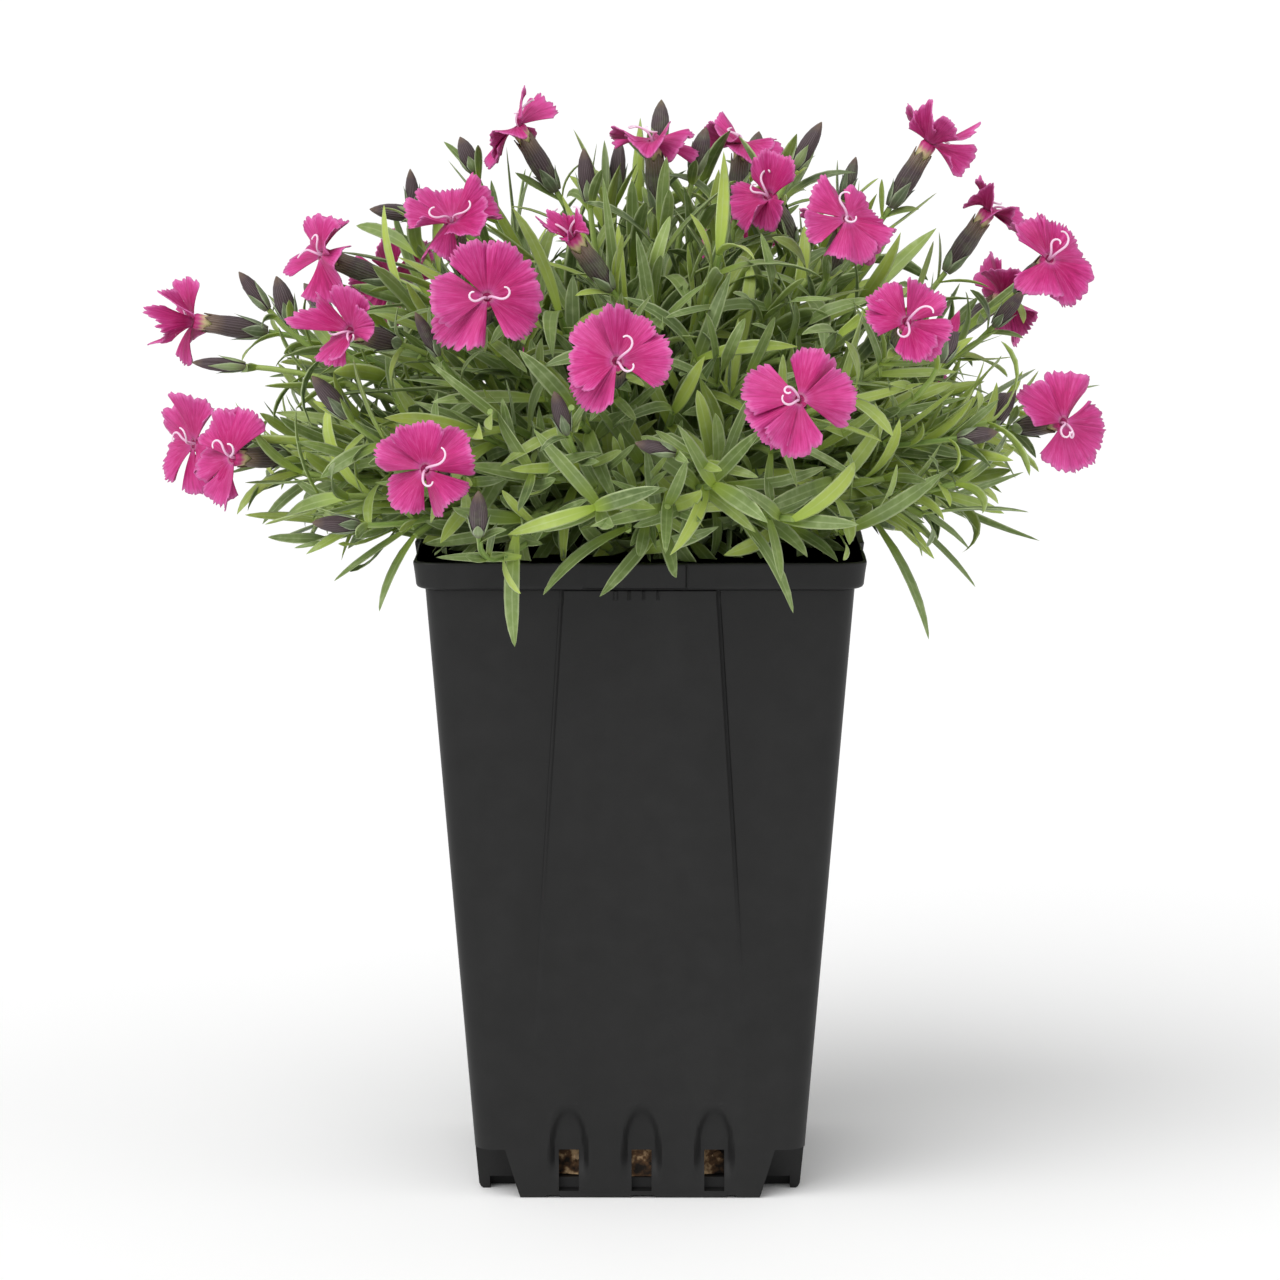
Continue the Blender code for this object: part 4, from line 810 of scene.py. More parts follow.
def petal_tree():
    """Petals on points: each point holds its petal's turn, lift, reach, spread, folds and waves."""
    tree, given = new_tree(
        "bloom_petals", Steps_Across=41, Steps_Along=10, Hub=1.2 * MM, Teeth=12.5,
        Tooth_Depth=0.115, Pinwheel=0.20, Crinkle=0.28 * MM)
    sheet = add(tree, "GeometryNodeMeshGrid", {
        "Size X": 2.0, "Size Y": 1.0,
        "Vertices X": given["Steps Across"], "Vertices Y": given["Steps Along"],
    })
    parts = add(tree, "ShaderNodeSeparateXYZ", {0: add(tree, "GeometryNodeInputPosition")}).outputs
    upwards = maths(tree, "ADD", parts["Y"], 0.5)
    one = labelled(tree, sheet, "across", parts["X"])
    two = labelled(tree, one, "along", upwards)
    set_out = add(tree, "GeometryNodeInstanceOnPoints", {"Points": given["Geometry"], "Instance": two})
    real = add(tree, "GeometryNodeRealizeInstances", {"Geometry": set_out})
    labels = ("across", "along", "turn", "lift", "reach", "spread", "wave", "phase", "curl", "fold")
    across, along, turn, lift, reach, spread, wave, phase, curl, fold = (named(tree, one) for one in labels)

    # Rim: a row of uneven teeth, on an edge that is rounded off at its two corners.
    jitter = maths(tree, "MULTIPLY_ADD", across, 3.1, phase)
    uneven = line_noise(tree, jitter, 2.2)
    half_teeth = maths(tree, "MULTIPLY", given["Teeth"], 0.5)
    shifted = maths(tree, "MULTIPLY_ADD", uneven, 2.6, phase)
    count = maths(tree, "MULTIPLY_ADD", across, half_teeth, shifted)
    saw = maths(tree, "PINGPONG", count, 0.5)
    cut = maths(tree, "MULTIPLY", saw, uneven)
    depth = maths(tree, "MULTIPLY", given["Tooth Depth"], -3.4)
    toothed = maths(tree, "MULTIPLY_ADD", cut, depth, 1.04)
    side = maths(tree, "ABSOLUTE", across)
    corner = maths(tree, "POWER", side, 4.0)
    sides = maths(tree, "MULTIPLY", corner, -0.17)
    rim = maths(tree, "ADD", toothed, sides)
    out = maths(tree, "MULTIPLY", reach, rim)
    length = maths(tree, "SUBTRACT", out, given["Hub"])
    run = maths(tree, "MULTIPLY", length, along)

    # Height: the lift of the petal, its lap over the next one, its fold, waves, crinkle and curl.
    sine = maths(tree, "SINE", lift)
    cosine = maths(tree, "COSINE", lift)
    rise = maths(tree, "MULTIPLY", run, sine)
    lap = maths(tree, "MULTIPLY", across, given["Pinwheel"])
    folded = maths(tree, "MULTIPLY_ADD", side, fold, lap)
    lapped = maths(tree, "MULTIPLY_ADD", run, folded, rise)
    bend = maths(tree, "MULTIPLY_ADD", across, 3.4, phase)
    swing = maths(tree, "SINE", bend)
    steep = maths(tree, "POWER", along, 1.7)
    waved = maths(tree, "MULTIPLY", swing, wave)
    fine = maths(tree, "MULTIPLY_ADD", across, 11.0, phase)
    ripple = maths(tree, "SINE", fine)
    crinkled = maths(tree, "MULTIPLY_ADD", ripple, given["Crinkle"], waved)
    curled = maths(tree, "ADD", crinkled, curl)
    height = maths(tree, "MULTIPLY_ADD", curled, steep, lapped)

    # Place: out along the petal's own way, which fans with the distance across.
    fan = maths(tree, "MULTIPLY", across, spread)
    angle = maths(tree, "ADD", fan, turn)
    flat = maths(tree, "MULTIPLY_ADD", run, cosine, given["Hub"])
    along_x = maths(tree, "COSINE", angle)
    along_y = maths(tree, "SINE", angle)
    x = maths(tree, "MULTIPLY", flat, along_x)
    y = maths(tree, "MULTIPLY", flat, along_y)
    spot = add(tree, "ShaderNodeCombineXYZ", {"X": x, "Y": y, "Z": height})
    shaped = add(tree, "GeometryNodeSetPosition", {"Geometry": real, "Position": spot})
    return ended(tree, given, shaped)


def crumb_tree():
    """Crumbs strewn on a surface: squashed lumps of every size, each turned its own way."""
    tree, given = new_tree(
        "soil_crumbs", Per_Square_Metre=110000.0, Smallest=0.7 * MM, Largest=3.0 * MM, Seed=5)
    strewn = add(tree, "GeometryNodeDistributePointsOnFaces", {
        "Mesh": given["Geometry"], "Density": given["Per Square Metre"], "Seed": given["Seed"],
    })
    lump = add(tree, "GeometryNodeMeshIcoSphere", {"Radius": 0.5, "Subdivisions": 1})
    turn = random_value(tree, (0.0, 0.0, 0.0), (6.2, 6.2, 6.2), 3)
    size = random_value(tree, 0.0, 1.0, 4)
    skew = maths(tree, "POWER", size, 1.7)
    scale = ranged(tree, skew, 0.0, 1.0, given["Smallest"], given["Largest"])
    squash = random_value(tree, (0.35, 0.6, 0.25), (0.8, 1.5, 0.6), 8)
    shape = add(tree, "ShaderNodeVectorMath", {0: squash, "Scale": scale.outputs[0]}, operation="SCALE")
    lumps = add(tree, "GeometryNodeInstanceOnPoints", {
        "Points": strewn, "Instance": lump, "Scale": shape.outputs[0],
    })
    tree.links.new(turn, lumps.inputs["Rotation"])
    tone = random_value(tree, 0.0, 1.0, 11)
    toned = labelled(tree, lumps, "tone", tone, domain="INSTANCE")
    real = add(tree, "GeometryNodeRealizeInstances", {"Geometry": toned})
    jag = random_value(tree, (-1.0, -1.0, -1.0), (1.0, 1.0, 1.0), 6)
    small = add(tree, "ShaderNodeVectorMath", {0: jag, "Scale": 0.12 * MM}, operation="SCALE")
    rough = add(tree, "GeometryNodeSetPosition", {"Geometry": real, "Offset": small.outputs[0]})
    return ended(tree, given, rough, smooth=False)


# ---------------------------------------------------------------- pot


def body_half(z):
    return BODY_HALF_AT_FOOT + BODY_TAPER * z


def rounded_square(half, corner, z, steps=6):
    """A ring round a square with rounded corners."""
    ring = []
    for quarter in range(4):
        middle = math.radians(90 * quarter + 45)
        cx = (half - corner) * math.copysign(1, math.cos(middle))
        cy = (half - corner) * math.copysign(1, math.sin(middle))
        for step in range(steps + 1):
            angle = math.radians(90 * quarter + 90 * step / steps)
            ring.append(Vector((cx + corner * math.cos(angle), cy + corner * math.sin(angle), z)))
    return ring


def turned(solid, quarter):
    """The same solid on another of the four sides."""
    points, faces = solid
    turn = Matrix.Rotation(math.radians(90 * quarter), 3, "Z")
    return [turn @ point for point in points], faces


def between(rows, height):
    """The values of a table at a height, read off between its rows."""
    if height <= rows[0][0]:
        return rows[0][1:]
    for low, high in zip(rows, rows[1:]):
        if height <= high[0]:
            share = (height - low[0]) / (high[0] - low[0])
            return tuple(a + share * (b - a) for a, b in zip(low[1:], high[1:]))
    return rows[-1][1:]


def smooth_step(value, low, high):
    share = max(0.0, min(1.0, (value - low) / (high - low)))
    return share * share * (3.0 - 2.0 * share)


def scallop_depth(x, z):
    """How deep the arched hollows above the drain windows are at a place of a side."""
    foot = WINDOW_TOP - 3.0 * MM
    if not foot - 6.0 * MM < z < SCALLOP_TOP:
        return 0.0
    rise = max(0.0, (z - foot) / (SCALLOP_TOP - foot))
    for centre in WINDOW_CENTRES:
        share = ((x - centre) / SCALLOP_HALF_WIDTH) ** 2 + rise ** 2.6
        if share < 1.0:
            faded = smooth_step(z, foot - 6.0 * MM, foot + 2.0 * MM)
            return SCALLOP_DEPTH * smooth_step(1.0 - share, 0.0, 0.6) * (1.0 - 0.15 * rise) * faded
        if share < 1.3:
            return -0.30 * MM * math.sin((share - 1.0) / 0.3 * math.pi) * rise
    return 0.0


def wall_out(x, z, half):
    """How far a side stands out at a place: its bow, panel, pad, ribs and hollows."""
    height = z / MM
    panel_half, proud = between(PANEL_ROWS, height)
    out = half
    if z < COLLAR_FOOT - 0.2 * MM:
        inside = panel_half * MM - abs(x)
        out += proud * MM * smooth_step(inside, -PANEL_STEP, 0.0)
        groove = 0.34 * MM if x > 0 else 0.18 * MM
        out -= min(1.0, proud / 0.5) * groove * max(0.0, 1.0 - abs(inside + 0.95 * MM) / (0.5 * MM))
        out -= scallop_depth(x, z)
        out += 0.12 * MM * math.sin(z / (23.0 * MM) + x / (19.0 * MM))
        for place in RIB_PLACES:
            if abs(x - place) < 0.4 * MM and z > COLLAR_FOOT - 2.6 * MM:
                out += 0.5 * MM
    elif z > COLLAR_FOOT + 0.6 * MM:
        rise = smooth_step(x, PAD_LEFT - 2.2 * MM, PAD_LEFT)
        out += PAD_PROUD * rise * (1.0 - smooth_step(x, PAD_RIGHT, PAD_RIGHT + 0.4 * MM))
        for place in PAD_GROOVES:
            out -= 0.25 * MM * max(0.0, 1.0 - abs(x - place) / (0.8 * MM))
        out += 0.15 * MM * math.sin(x / (8.0 * MM))
    return out


def side_places(z, corner, half):
    """Where a ring has its points along one side, packed close where the relief is."""
    flat = half - corner
    panel = min(between(PANEL_ROWS, z / MM)[0] * MM, flat - 3.0 * MM)
    if z > COLLAR_FOOT - 3.2 * MM:
        panel = 19.2 * MM
    far = panel + 2 * PANEL_STEP
    steps = (0.45, 0.68, 0.95, 1.22)
    places = [-flat + (flat - far) * i / 6 for i in range(7)]
    places.extend(-panel - step * MM for step in reversed(steps))
    places.extend(-panel + 2 * panel * i / 84 for i in range(85))
    places.extend(panel + step * MM for step in steps)
    places.extend(far + (flat - far) * i / 6 for i in range(7))
    return places


def pot_ring(z, half, corner):
    """One ring of the pot's outer skin, with the relief of its four sides."""
    ring = []
    flat = half - corner
    for quarter in range(4):
        turn = Matrix.Rotation(math.radians(90 * quarter), 3, "Z")
        for x in side_places(z, corner, half):
            y = -wall_out(x, z, half) if abs(x) < flat - 0.01 * MM else -half
            ring.append(turn @ Vector((x, y, z)))
        for step in range(1, 7):
            angle = math.radians(-90 + 90 * step / 7)
            x, y = flat + corner * math.cos(angle), -flat + corner * math.sin(angle)
            ring.append(turn @ Vector((x, y, z)))
    return ring


def pot_rows():
    """Heights, half widths and corner radii of the outer skin's rings, from the foot to the lip."""
    rows = [(z * MM, body_half(0.0) - back * MM, BODY_CORNER) for z, back in ((0.0, 1.0), (0.5, 0.35))]
    rows += [(height * MM, body_half(height * MM), BODY_CORNER) for height in BODY_RINGS]
    return rows + [(COLLAR_FOOT + rise * MM, half * MM, COLLAR_CORNER) for rise, half in COLLAR_RINGS]


def pot_inside():
    thick = WALL + SCALLOP_DEPTH
    step = SCALLOP_TOP + 0.5 * MM
    inner = BODY_CORNER - WALL
    profile = (
        (FLOOR_TOP, body_half(FLOOR_TOP) - thick, inner),
        (step, body_half(step) - thick, inner),
        (step + 1.5 * MM, body_half(step + 1.5 * MM) - WALL, inner),
        (COLLAR_FOOT + 0.3 * MM, body_half(COLLAR_FOOT) - WALL, inner),
        (COLLAR_FOOT + 1.6 * MM, COLLAR_HALF_LOW - WALL, COLLAR_CORNER - WALL),
        (POT_HEIGHT + 1.0 * MM, COLLAR_HALF_TOP - WALL, COLLAR_CORNER - WALL),
    )
    return loft([rounded_square(half, corner, z) for z, half, corner in profile])


def corner_notch(grow):
    """The block that is missing from a corner of the foot, or that block grown by a wall."""
    far = 60.0 * MM
    levels = ((-2.0 * MM, NOTCH_START_FOOT - grow), (NOTCH_HEIGHT + grow, NOTCH_START_TOP - grow))
    return loft([box_ring(near, far, near, far, z) for z, near in levels])


def window(centre):
    """A drain window; it is cut less deep at the sill, clear of the hollow under the floor."""
    left, right = centre - WINDOW_WIDTH / 2, centre + WINDOW_WIDTH / 2
    outer = -body_half(WINDOW_TOP) - 1.0 * MM
    depths = ((WINDOW_BOTTOM, 6.2 * MM), (WINDOW_TOP, 9.0 * MM))
    return loft([box_ring(left, right, outer, outer + depth, z) for z, depth in depths])


def corner_hollow(far):
    """The hollow under the floor reaches into the corners; between them the sills are backed."""
    near, round_off = -BACKED_TO, 0.6 * BODY_CORNER
    ring = [(near, near), (-far, near), (-far, -far + round_off), (-far + round_off, -far), (near, -far)]
    return loft([[Vector((x, y, z)) for x, y in ring] for z in (-1.1 * MM, FLOOR_UNDERSIDE - 0.02 * MM)])


def foot_recess(low, high):
    """A shallow gap in the foot's edge under a drain window, with sloping ends."""
    slopes = ((-1.0 * MM, 1.2 * MM), (0.8 * MM, 0.0))
    return loft([box_ring(low - slope, high + slope, -50.0 * MM, -35.0 * MM, z) for z, slope in slopes])


def cut(item, solids, solver):
    """Takes solids away from an object and keeps the plain result."""
    group = bpy.data.collections.new("cutters")
    for solid in solids:
        cutter = bpy.data.objects.new("cutter", outwards(mesh_of("cutter", solid)))
        group.objects.link(cutter)
    modifier = item.modifiers.new("cut", "BOOLEAN")
    modifier.operation, modifier.operand_type = "DIFFERENCE", "COLLECTION"
    modifier.collection, modifier.solver = group, solver
    plain(item)
    for cutter in list(group.objects):
        bpy.data.objects.remove(cutter)
    bpy.data.collections.remove(group)
    return item


def outwards(mesh):
    """Turns a closed mesh's faces outwards."""
    shell = bmesh.new()
    shell.from_mesh(mesh)
    bmesh.ops.recalc_face_normals(shell, faces=shell.faces)
    shell.to_mesh(mesh)
    shell.free()
    return mesh


def build_pot(plastic):
    """The moulded shell: finer relief on its sides than the solids have, cut open in the same places."""
    hollow = new_object("hollow", outwards(mesh_of("hollow", pot_inside())))
    cut(hollow, [turned(corner_notch(WALL), quarter) for quarter in range(4)], "EXACT")
    under = BODY_HALF_AT_FOOT - 1.0 * MM - FOOT_LIP
    levels = (-1.0 * MM, FLOOR_UNDERSIDE)
    solids = [as_solid(hollow), loft([rounded_square(under - SILL_BACKING, BODY_CORNER, z) for z in levels])]
    for quarter in range(4):
        solids.append(turned(corner_notch(0.0), quarter))
        solids.append(turned(corner_hollow(under), quarter))
        solids.extend(turned(window(centre), quarter) for centre in WINDOW_CENTRES)
        solids.extend(turned(foot_recess(low * MM, high * MM), quarter) for low, high in FOOT_RECESSES)
    bpy.data.objects.remove(hollow)
    skin = loft([pot_ring(*row) for row in pot_rows()])
    shell = new_object("pot_shell", outwards(mesh_of("pot_shell", skin)))
    cut(shell, solids, "MANIFOLD")
    shell.data.materials.clear()
    shell.data.materials.append(plastic)
    shell.data.shade_smooth()
    shell.data.set_sharp_from_angle(angle=math.radians(30))
    stand_in(shell, "pot", "pot")


def build_crumbs(tree, material):
    """Bark and coir crumbs on the root ball: over its top, and low down behind the drain windows."""
    shell = bmesh.new()
    shell.from_mesh(frame["nodes"]["soil"].data)
    bmesh.ops.remove_doubles(shell, verts=shell.verts, dist=WELD)
    whole = list(shell.verts) + list(shell.edges) + list(shell.faces)
    bmesh.ops.bisect_plane(shell, geom=whole, plane_co=(0, 0, CRUMBS_UP_TO), plane_no=(0, 0, 1))
    shell.normal_update()
    spare = [face for face in shell.faces if face.normal.z < -0.5
             or not (face.normal.z > 0.5 or face.calc_center_median().z < CRUMBS_UP_TO)]
    bmesh.ops.delete(shell, geom=spare, context="FACES")
    mesh = bpy.data.meshes.new("soil_crumbs")
    shell.to_mesh(mesh)
    shell.free()
    crumbs = grown("soil_crumbs", mesh, tree, {"Material": material})
    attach(crumbs, "root")


# ---------------------------------------------------------------- leaves and stems


def leaf_width(t, blunt=2.3):
    """A leaf's width along it, as a share of its widest."""
    if t < LEAF_WIDEST:
        return 0.44 + 0.56 * math.sin(t / LEAF_WIDEST * math.pi / 2)
    return max(0.02, 1.0 - ((t - LEAF_WIDEST) / 0.58) ** blunt)


def strip(points, halves, asides, tone, alongs=None):
    count = len(points)
    if alongs is None:
        alongs = [i / (count - 1) for i in range(count)]
    return {"points": points, "half": halves, "aside": asides, "along": alongs, "tone": [tone] * count}


def strips_mesh(name, strips):
    """Open runs of edges with what the trees read: half width, way aside, share along and tone."""
    points, edges = [], []
    for one in strips:
        start = len(points)
        points.extend(tuple(point) for point in one["points"])
        edges.extend((start + i, start + i + 1) for i in range(len(one["points"]) - 1))
    mesh = bpy.data.meshes.new(name)
    mesh.from_pydata(points, edges, [])
    for label in ("half", "along", "tone"):
        store(mesh, **{label: [value for one in strips for value in one[label]]})
    asides = np.array([tuple(way) for one in strips for way in one["aside"]], dtype=np.float32)
    mesh.attributes.new("aside", "FLOAT_VECTOR", "POINT").data.foreach_set("vector", asides.ravel())
    return mesh


def leaf_tone(draw, place):
    """Most leaves are grey green, some fresh yellow green, most of all on the right, and a few dark."""
    kind = draw.random()
    fresh = 0.34 + (0.34 if place.x > 46 * MM else 0.0) + (0.12 if place.x < -56 * MM else 0.0)
    fresh -= 0.22 if place.z < 176 * MM else 0.0
    if kind < fresh:
        return draw.uniform(0.62, 1.0)
    return draw.uniform(0.26, 0.54) if kind < 0.92 else draw.uniform(0.0, 0.2)


def leaf_strip(foot, ahead, up, length, width, bend, tone, twist, sway, blunt):
    """The spine of a leaf that starts ahead, bends away from up along its length and sways aside."""
    side = ahead.cross(up).normalized()
    over = side.cross(ahead).normalized()
    points, asides, halves = [foot.copy()], [side.copy()], [width / 2 * leaf_width(0.0)]
    place, last = foot, 0.0
    for t in SPINE_SHARES[1:]:
        turn = Matrix.Rotation(-bend * (t + last) / 2, 3, side)
        leant = Matrix.Rotation(sway * (t + last) / 2, 3, over)
        way = leant @ turn @ ahead
        place = place + way * length * (t - last)
        points.append(place.copy())
        asides.append(Matrix.Rotation(twist * t, 3, way) @ leant @ side)
        halves.append(width / 2 * leaf_width(t, blunt))
        last = t
    return strip(points, halves, [-way for way in asides], tone, SPINE_SHARES)


def packed_leaves(draw):
    """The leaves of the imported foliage: each is found by its tip, which only three edges meet."""
    shell = bmesh.new()
    shell.from_mesh(frame["nodes"]["foliage"].data)
    bmesh.ops.remove_doubles(shell, verts=shell.verts, dist=WELD)
    found = []
    for tip in shell.verts:
        ring = [edge.other_vert(tip) for edge in tip.link_edges]
        if len(ring) != 3:
            continue
        rows = [ring]
        seen = {tip, *ring}
        while True:
            row = {edge.other_vert(vertex) for vertex in rows[-1] for edge in vertex.link_edges} - seen
            if len(row) != 3 or len(rows) == 3:
                break
            rows.append(list(row))
            seen |= row
        if len(rows) < 2:
            continue
        middles, sides, ups, widths = [], [], [], []
        for row in rows[:3]:
            pairs = sorted(((row[a].co - row[b].co).length, a, b) for a, b in ((0, 1), (1, 2), (2, 0)))
            wide, a, b = pairs[-1]
            keel = row[3 - a - b].co
            middle = (row[a].co + row[b].co) / 2
            middles.append(middle)
            sides.append((row[a].co - row[b].co).normalized())
            ups.append((middle - keel).normalized())
            widths.append(wide)
        if max(widths) > 6 * MM or (tip.co - middles[0]).length > 20 * MM:
            continue
        found.append(packed_strip(tip.co.copy(), middles, ups, widths, draw))
    shell.free()
    return found


def packed_strip(tip, middles, ups, widths, draw):
    """A finer spine through a packed leaf's tip and rows, carried on to its root."""
    knots = [tip, *middles]
    step = (knots[-2] - knots[-1])
    before = (knots[-3] - knots[-2]).normalized()
    here = step.normalized()
    bend = before.rotation_difference(here)
    share = 0.30 / 0.38 if len(middles) == 2 else 0.30 / 0.28
    knots.append(knots[-1] - (bend @ here) * step.length * share)
    knots.reverse()
    up = sum(ups, Vector()).normalized()
    shares = (0.0, 0.30, 0.68, 1.0) if len(middles) == 2 else (0.0, 0.30, 0.58, 0.82, 1.0)
    points, halves = [], []
    width = max(widths) * 1.04
    for t in SPINE_SHARES:
        slot = max(i for i in range(len(shares) - 1) if shares[i] <= t)
        part = (t - shares[slot]) / (shares[slot + 1] - shares[slot])
        points.append(smooth_point(knots, slot, part))
        halves.append(width / 2 * leaf_width(t, LEAF_BLUNT))
    asides = [up.cross(ahead_at(points, i)).normalized() for i in range(len(points))]
    tone = leaf_tone(draw, tip) if len(middles) == 2 else draw.uniform(0.34, 0.50)
    return strip(points, halves, asides, tone, SPINE_SHARES)


def smooth_point(knots, slot, part):
    """A point of the smooth curve through knots."""
    a = knots[max(slot - 1, 0)]
    b, c = knots[slot], knots[slot + 1]
    d = knots[min(slot + 2, len(knots) - 1)]
    t, t2, t3 = part, part * part, part ** 3
    return 0.5 * ((2 * b) + (c - a) * t + (2 * a - 5 * b + 4 * c - d) * t2 + (3 * b - a - 3 * c + d) * t3)


def stem_strip(points, radius, tone):
    """A stem's spine, swollen a little at its foot."""
    last = len(points) - 1
    asides = [ahead_at(points, 0).orthogonal().normalized()]
    for i in range(1, last + 1):
        ahead = ahead_at(points, i)
        asides.append((asides[-1] - asides[-1].dot(ahead) * ahead).normalized())
    return strip(points, [radius * (1.12 - 0.30 * i / last) for i in range(last + 1)], asides, tone)


def all_stems():
    """The ways of the stems to blooms, to buds and of the leafy shoots, as the solids have them."""
    nodes = frame["nodes"]
    pot_and_soil = [as_solid(nodes["pot"]), as_solid(nodes["soil"])]
    blooms = [as_solid(nodes[f"bloom_{n:02d}"]) for n in range(1, len(BLOOMS) + 1)]
    calyces = [as_solid(nodes[f"calyx_{n:02d}"]) for n in range(1, len(BLOOMS) + 1)]
    fixed = tree_of(pot_and_soil + blooms + calyces)
    stems, buds = [], []
    for order, (place, facing, _, _) in enumerate(BLOOMS):
        axis = Vector(facing).normalized()
        foot = Vector(place) * MM - axis * (NECK_LENGTH + GAP + CALYX_LENGTH + GAP)
        others = tree_of(pot_and_soil + blooms + calyces[:order] + calyces[order + 1:])
        draw = own_draw(BLOOM_STEM_DRAWS, order)
        stems.append(("bloom", stem_route(foot, axis, draw, others, STEM_RADIUS, 5)))
    for order, (place, facing) in enumerate(BUDS):
        draw = own_draw(BUD_DRAWS, order)
        where = facing_frame(place, facing, draw.uniform(0, math.tau))
        length = BUD_LENGTH * draw.uniform(0.85, 1.2)
        buds.append((where, length))
        arrival = Vector(facing).normalized()
        stems.append(("bud", stem_route(where.translation, arrival, draw, fixed, STEM_RADIUS, 4)))
    bud_solids = []
    for where, length in buds:
        rings = [circle(girth, share * length - 0.7 * MM, 4) for share, girth in PLAIN_BUD]
        bud_solids.append(placed(loft(rings + [circle(0.25 * MM, length, 4)]), where))
    guarded = tree_of(pot_and_soil + blooms + calyces + bud_solids)
    for number in range(SHOOTS):
        draw = own_draw(SHOOT_DRAWS, number)
        end = shoot_end(number, draw, SHOOTS, SHOOT_REACH)
        arrival = (end - crown_root(end)).normalized()
        stems.append(("shoot", stem_route(end, arrival, draw, guarded, 1.0 * MM, 4)))
    return [(kind, points) for kind, points in stems if points], buds, guarded


def grown_shoots(kind, ends, draw, guarded):
    """Leafy shoots from the crown to each end, wherever the way is clear."""
    ways = (stem_route(end, arrival, draw, guarded, SHOOT_RADIUS, 4, finer=9) for end, arrival in ends)
    return [(kind, points) for points in ways if points]


def filling_ends(draw):
    """Short leafy shoots between the others, which close the mound up below its outline."""
    for number in range(FILLING_SHOOTS):
        end = shoot_end(number, draw, FILLING_SHOOTS, FILLING_REACH)
        yield end, (end - crown_root(end)).normalized()


def rim_ends(draw):
    """Low shoots that reach to the rim all round, so that leaves lie over the soil and the lip."""
    for number in range(RIM_SHOOTS):
        out = level_way(math.tau * (number + draw.uniform(-0.3, 0.3)) / RIM_SHOOTS)
        reach = 50.0 * MM / max(abs(out.x), abs(out.y)) * draw.uniform(0.72, 1.12)
        end = out * min(reach, 60.0 * MM) + Vector((0.0, 0.0, draw.uniform(170.5, 181.0) * MM))
        yield end, out


def flank_ends(draw):
    """Shoots that spread out low on the left and the right, beyond the rim."""
    for number in range(FLANK_SHOOTS):
        out = 1 if number % 2 else -1
        end = Vector((out * draw.uniform(60, 90), draw.uniform(-50, 45), draw.uniform(177, 204))) * MM
        yield end, Vector((0.96 * out, 0.0, 0.28))


def shown_leaves(guarded):
    """The leaves of the shoots that are seen best, and the stems that carry those shoots."""
    strips, stems = [], []
    for node, leaves in SHOWN_SHOOTS:
        foot = Vector(node) * MM
        stems.append(low_stem(foot))
        for leaf in leaves:
            tip, width, tone, by = Vector(leaf[:3]) * MM, leaf[3], leaf[4], leaf[5:]
            out = ((foot + tip) / 2 - CROWN_CENTRE).normalized()
            by = Vector(by) * MM if by else (foot + tip) / 2 + out * 0.08 * (tip - foot).length
            halfway = [(0, 2 * t) if t < 0.5 else (1, 2 * t - 1) for t in SPINE_SHARES[1:]]
            points = [foot.copy()] + [smooth_point([foot, by, tip], slot, part) for slot, part in halfway]
            up = out + Vector((0.0, -0.35, 0.25))
            asides = [up.cross(ahead_at(points, i)).normalized() for i in range(len(points))]
            halves = [width / 2 * MM * leaf_width(t, LEAF_BLUNT) for t in SPINE_SHARES]
            one = strip(points, halves, asides, tone, SPINE_SHARES)
            if clear_of(one, guarded):
                strips.append(one)
    return strips, stems


def low_stem(foot):
    """The way of a stem that rises a little from the crown before it comes to a leaf's foot."""
    start = crown_root(foot)
    rise = Vector((0.0, 0.0, 12.0 * MM))
    pulls = (start, start.lerp(foot, 0.4) + rise, start.lerp(foot, 0.8) + rise * 0.6, foot)
    return [bezier(*pulls, i / 10) for i in range(11)]


def added_leaves(stems, draw, guarded, taken):
    """Opposite pairs of finer leaves along the stems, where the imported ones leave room."""
    strips = []
    for kind, points in stems:
        spacing, first, lengths, widths = HABITS[kind]
        bears = kind in ("bloom", "bud")
        total = sum((b - a).length for a, b in zip(points, points[1:]))
        pairs = max(1, int(total * (1 - first) / (spacing * MM)))
        turn = draw.uniform(0, math.pi)
        for order in range(pairs + 1):
            share = first + (1 - first) * order / max(pairs, 1) * (0.93 if bears else 1.0)
            place = min(share * (len(points) - 1), len(points) - 1.001)
            low = int(place)
            point = points[low].lerp(points[low + 1], place - low)
            ahead = (points[low + 1] - points[low]).normalized()
            across = ahead.orthogonal().normalized()
            turn += math.pi / 2 + draw.uniform(-0.3, 0.3)
            if taken.find(point)[2] < 3.5 * MM:
                continue
            shrink = 1.0 - 0.35 * share if bears else 1.0
            for half in (0, math.pi):
                for attempt in range(4):
                    angle = turn + half + draw.uniform(-0.3, 0.3) * attempt
                    side = Matrix.Rotation(angle, 3, ahead) @ across
                    lean = math.radians(draw.uniform(14, 46) - 2 * attempt)
                    way = math.cos(lean) * ahead + math.sin(lean) * side
                    up = math.cos(lean) * -side + math.sin(lean) * ahead
                    length = draw.uniform(*lengths) * MM * shrink * (1 - 0.10 * attempt)
                    width = draw.uniform(*widths) * MM
                    bend = draw.uniform(-0.45, 1.0) if draw.random() < 0.8 else draw.uniform(1.0, 1.9)
                    shape = [draw.uniform(-1.0, 1.0), draw.uniform(-0.40, 0.40), draw.uniform(2.4, 3.8)]
                    tone = leaf_tone(draw, point)
                    one = leaf_strip(point, way, up, length, width, bend, tone, *shape)
                    if clear_of(one, guarded) and inside_dome(one["points"][-1]):
                        strips.append(one)
                        break
    return strips


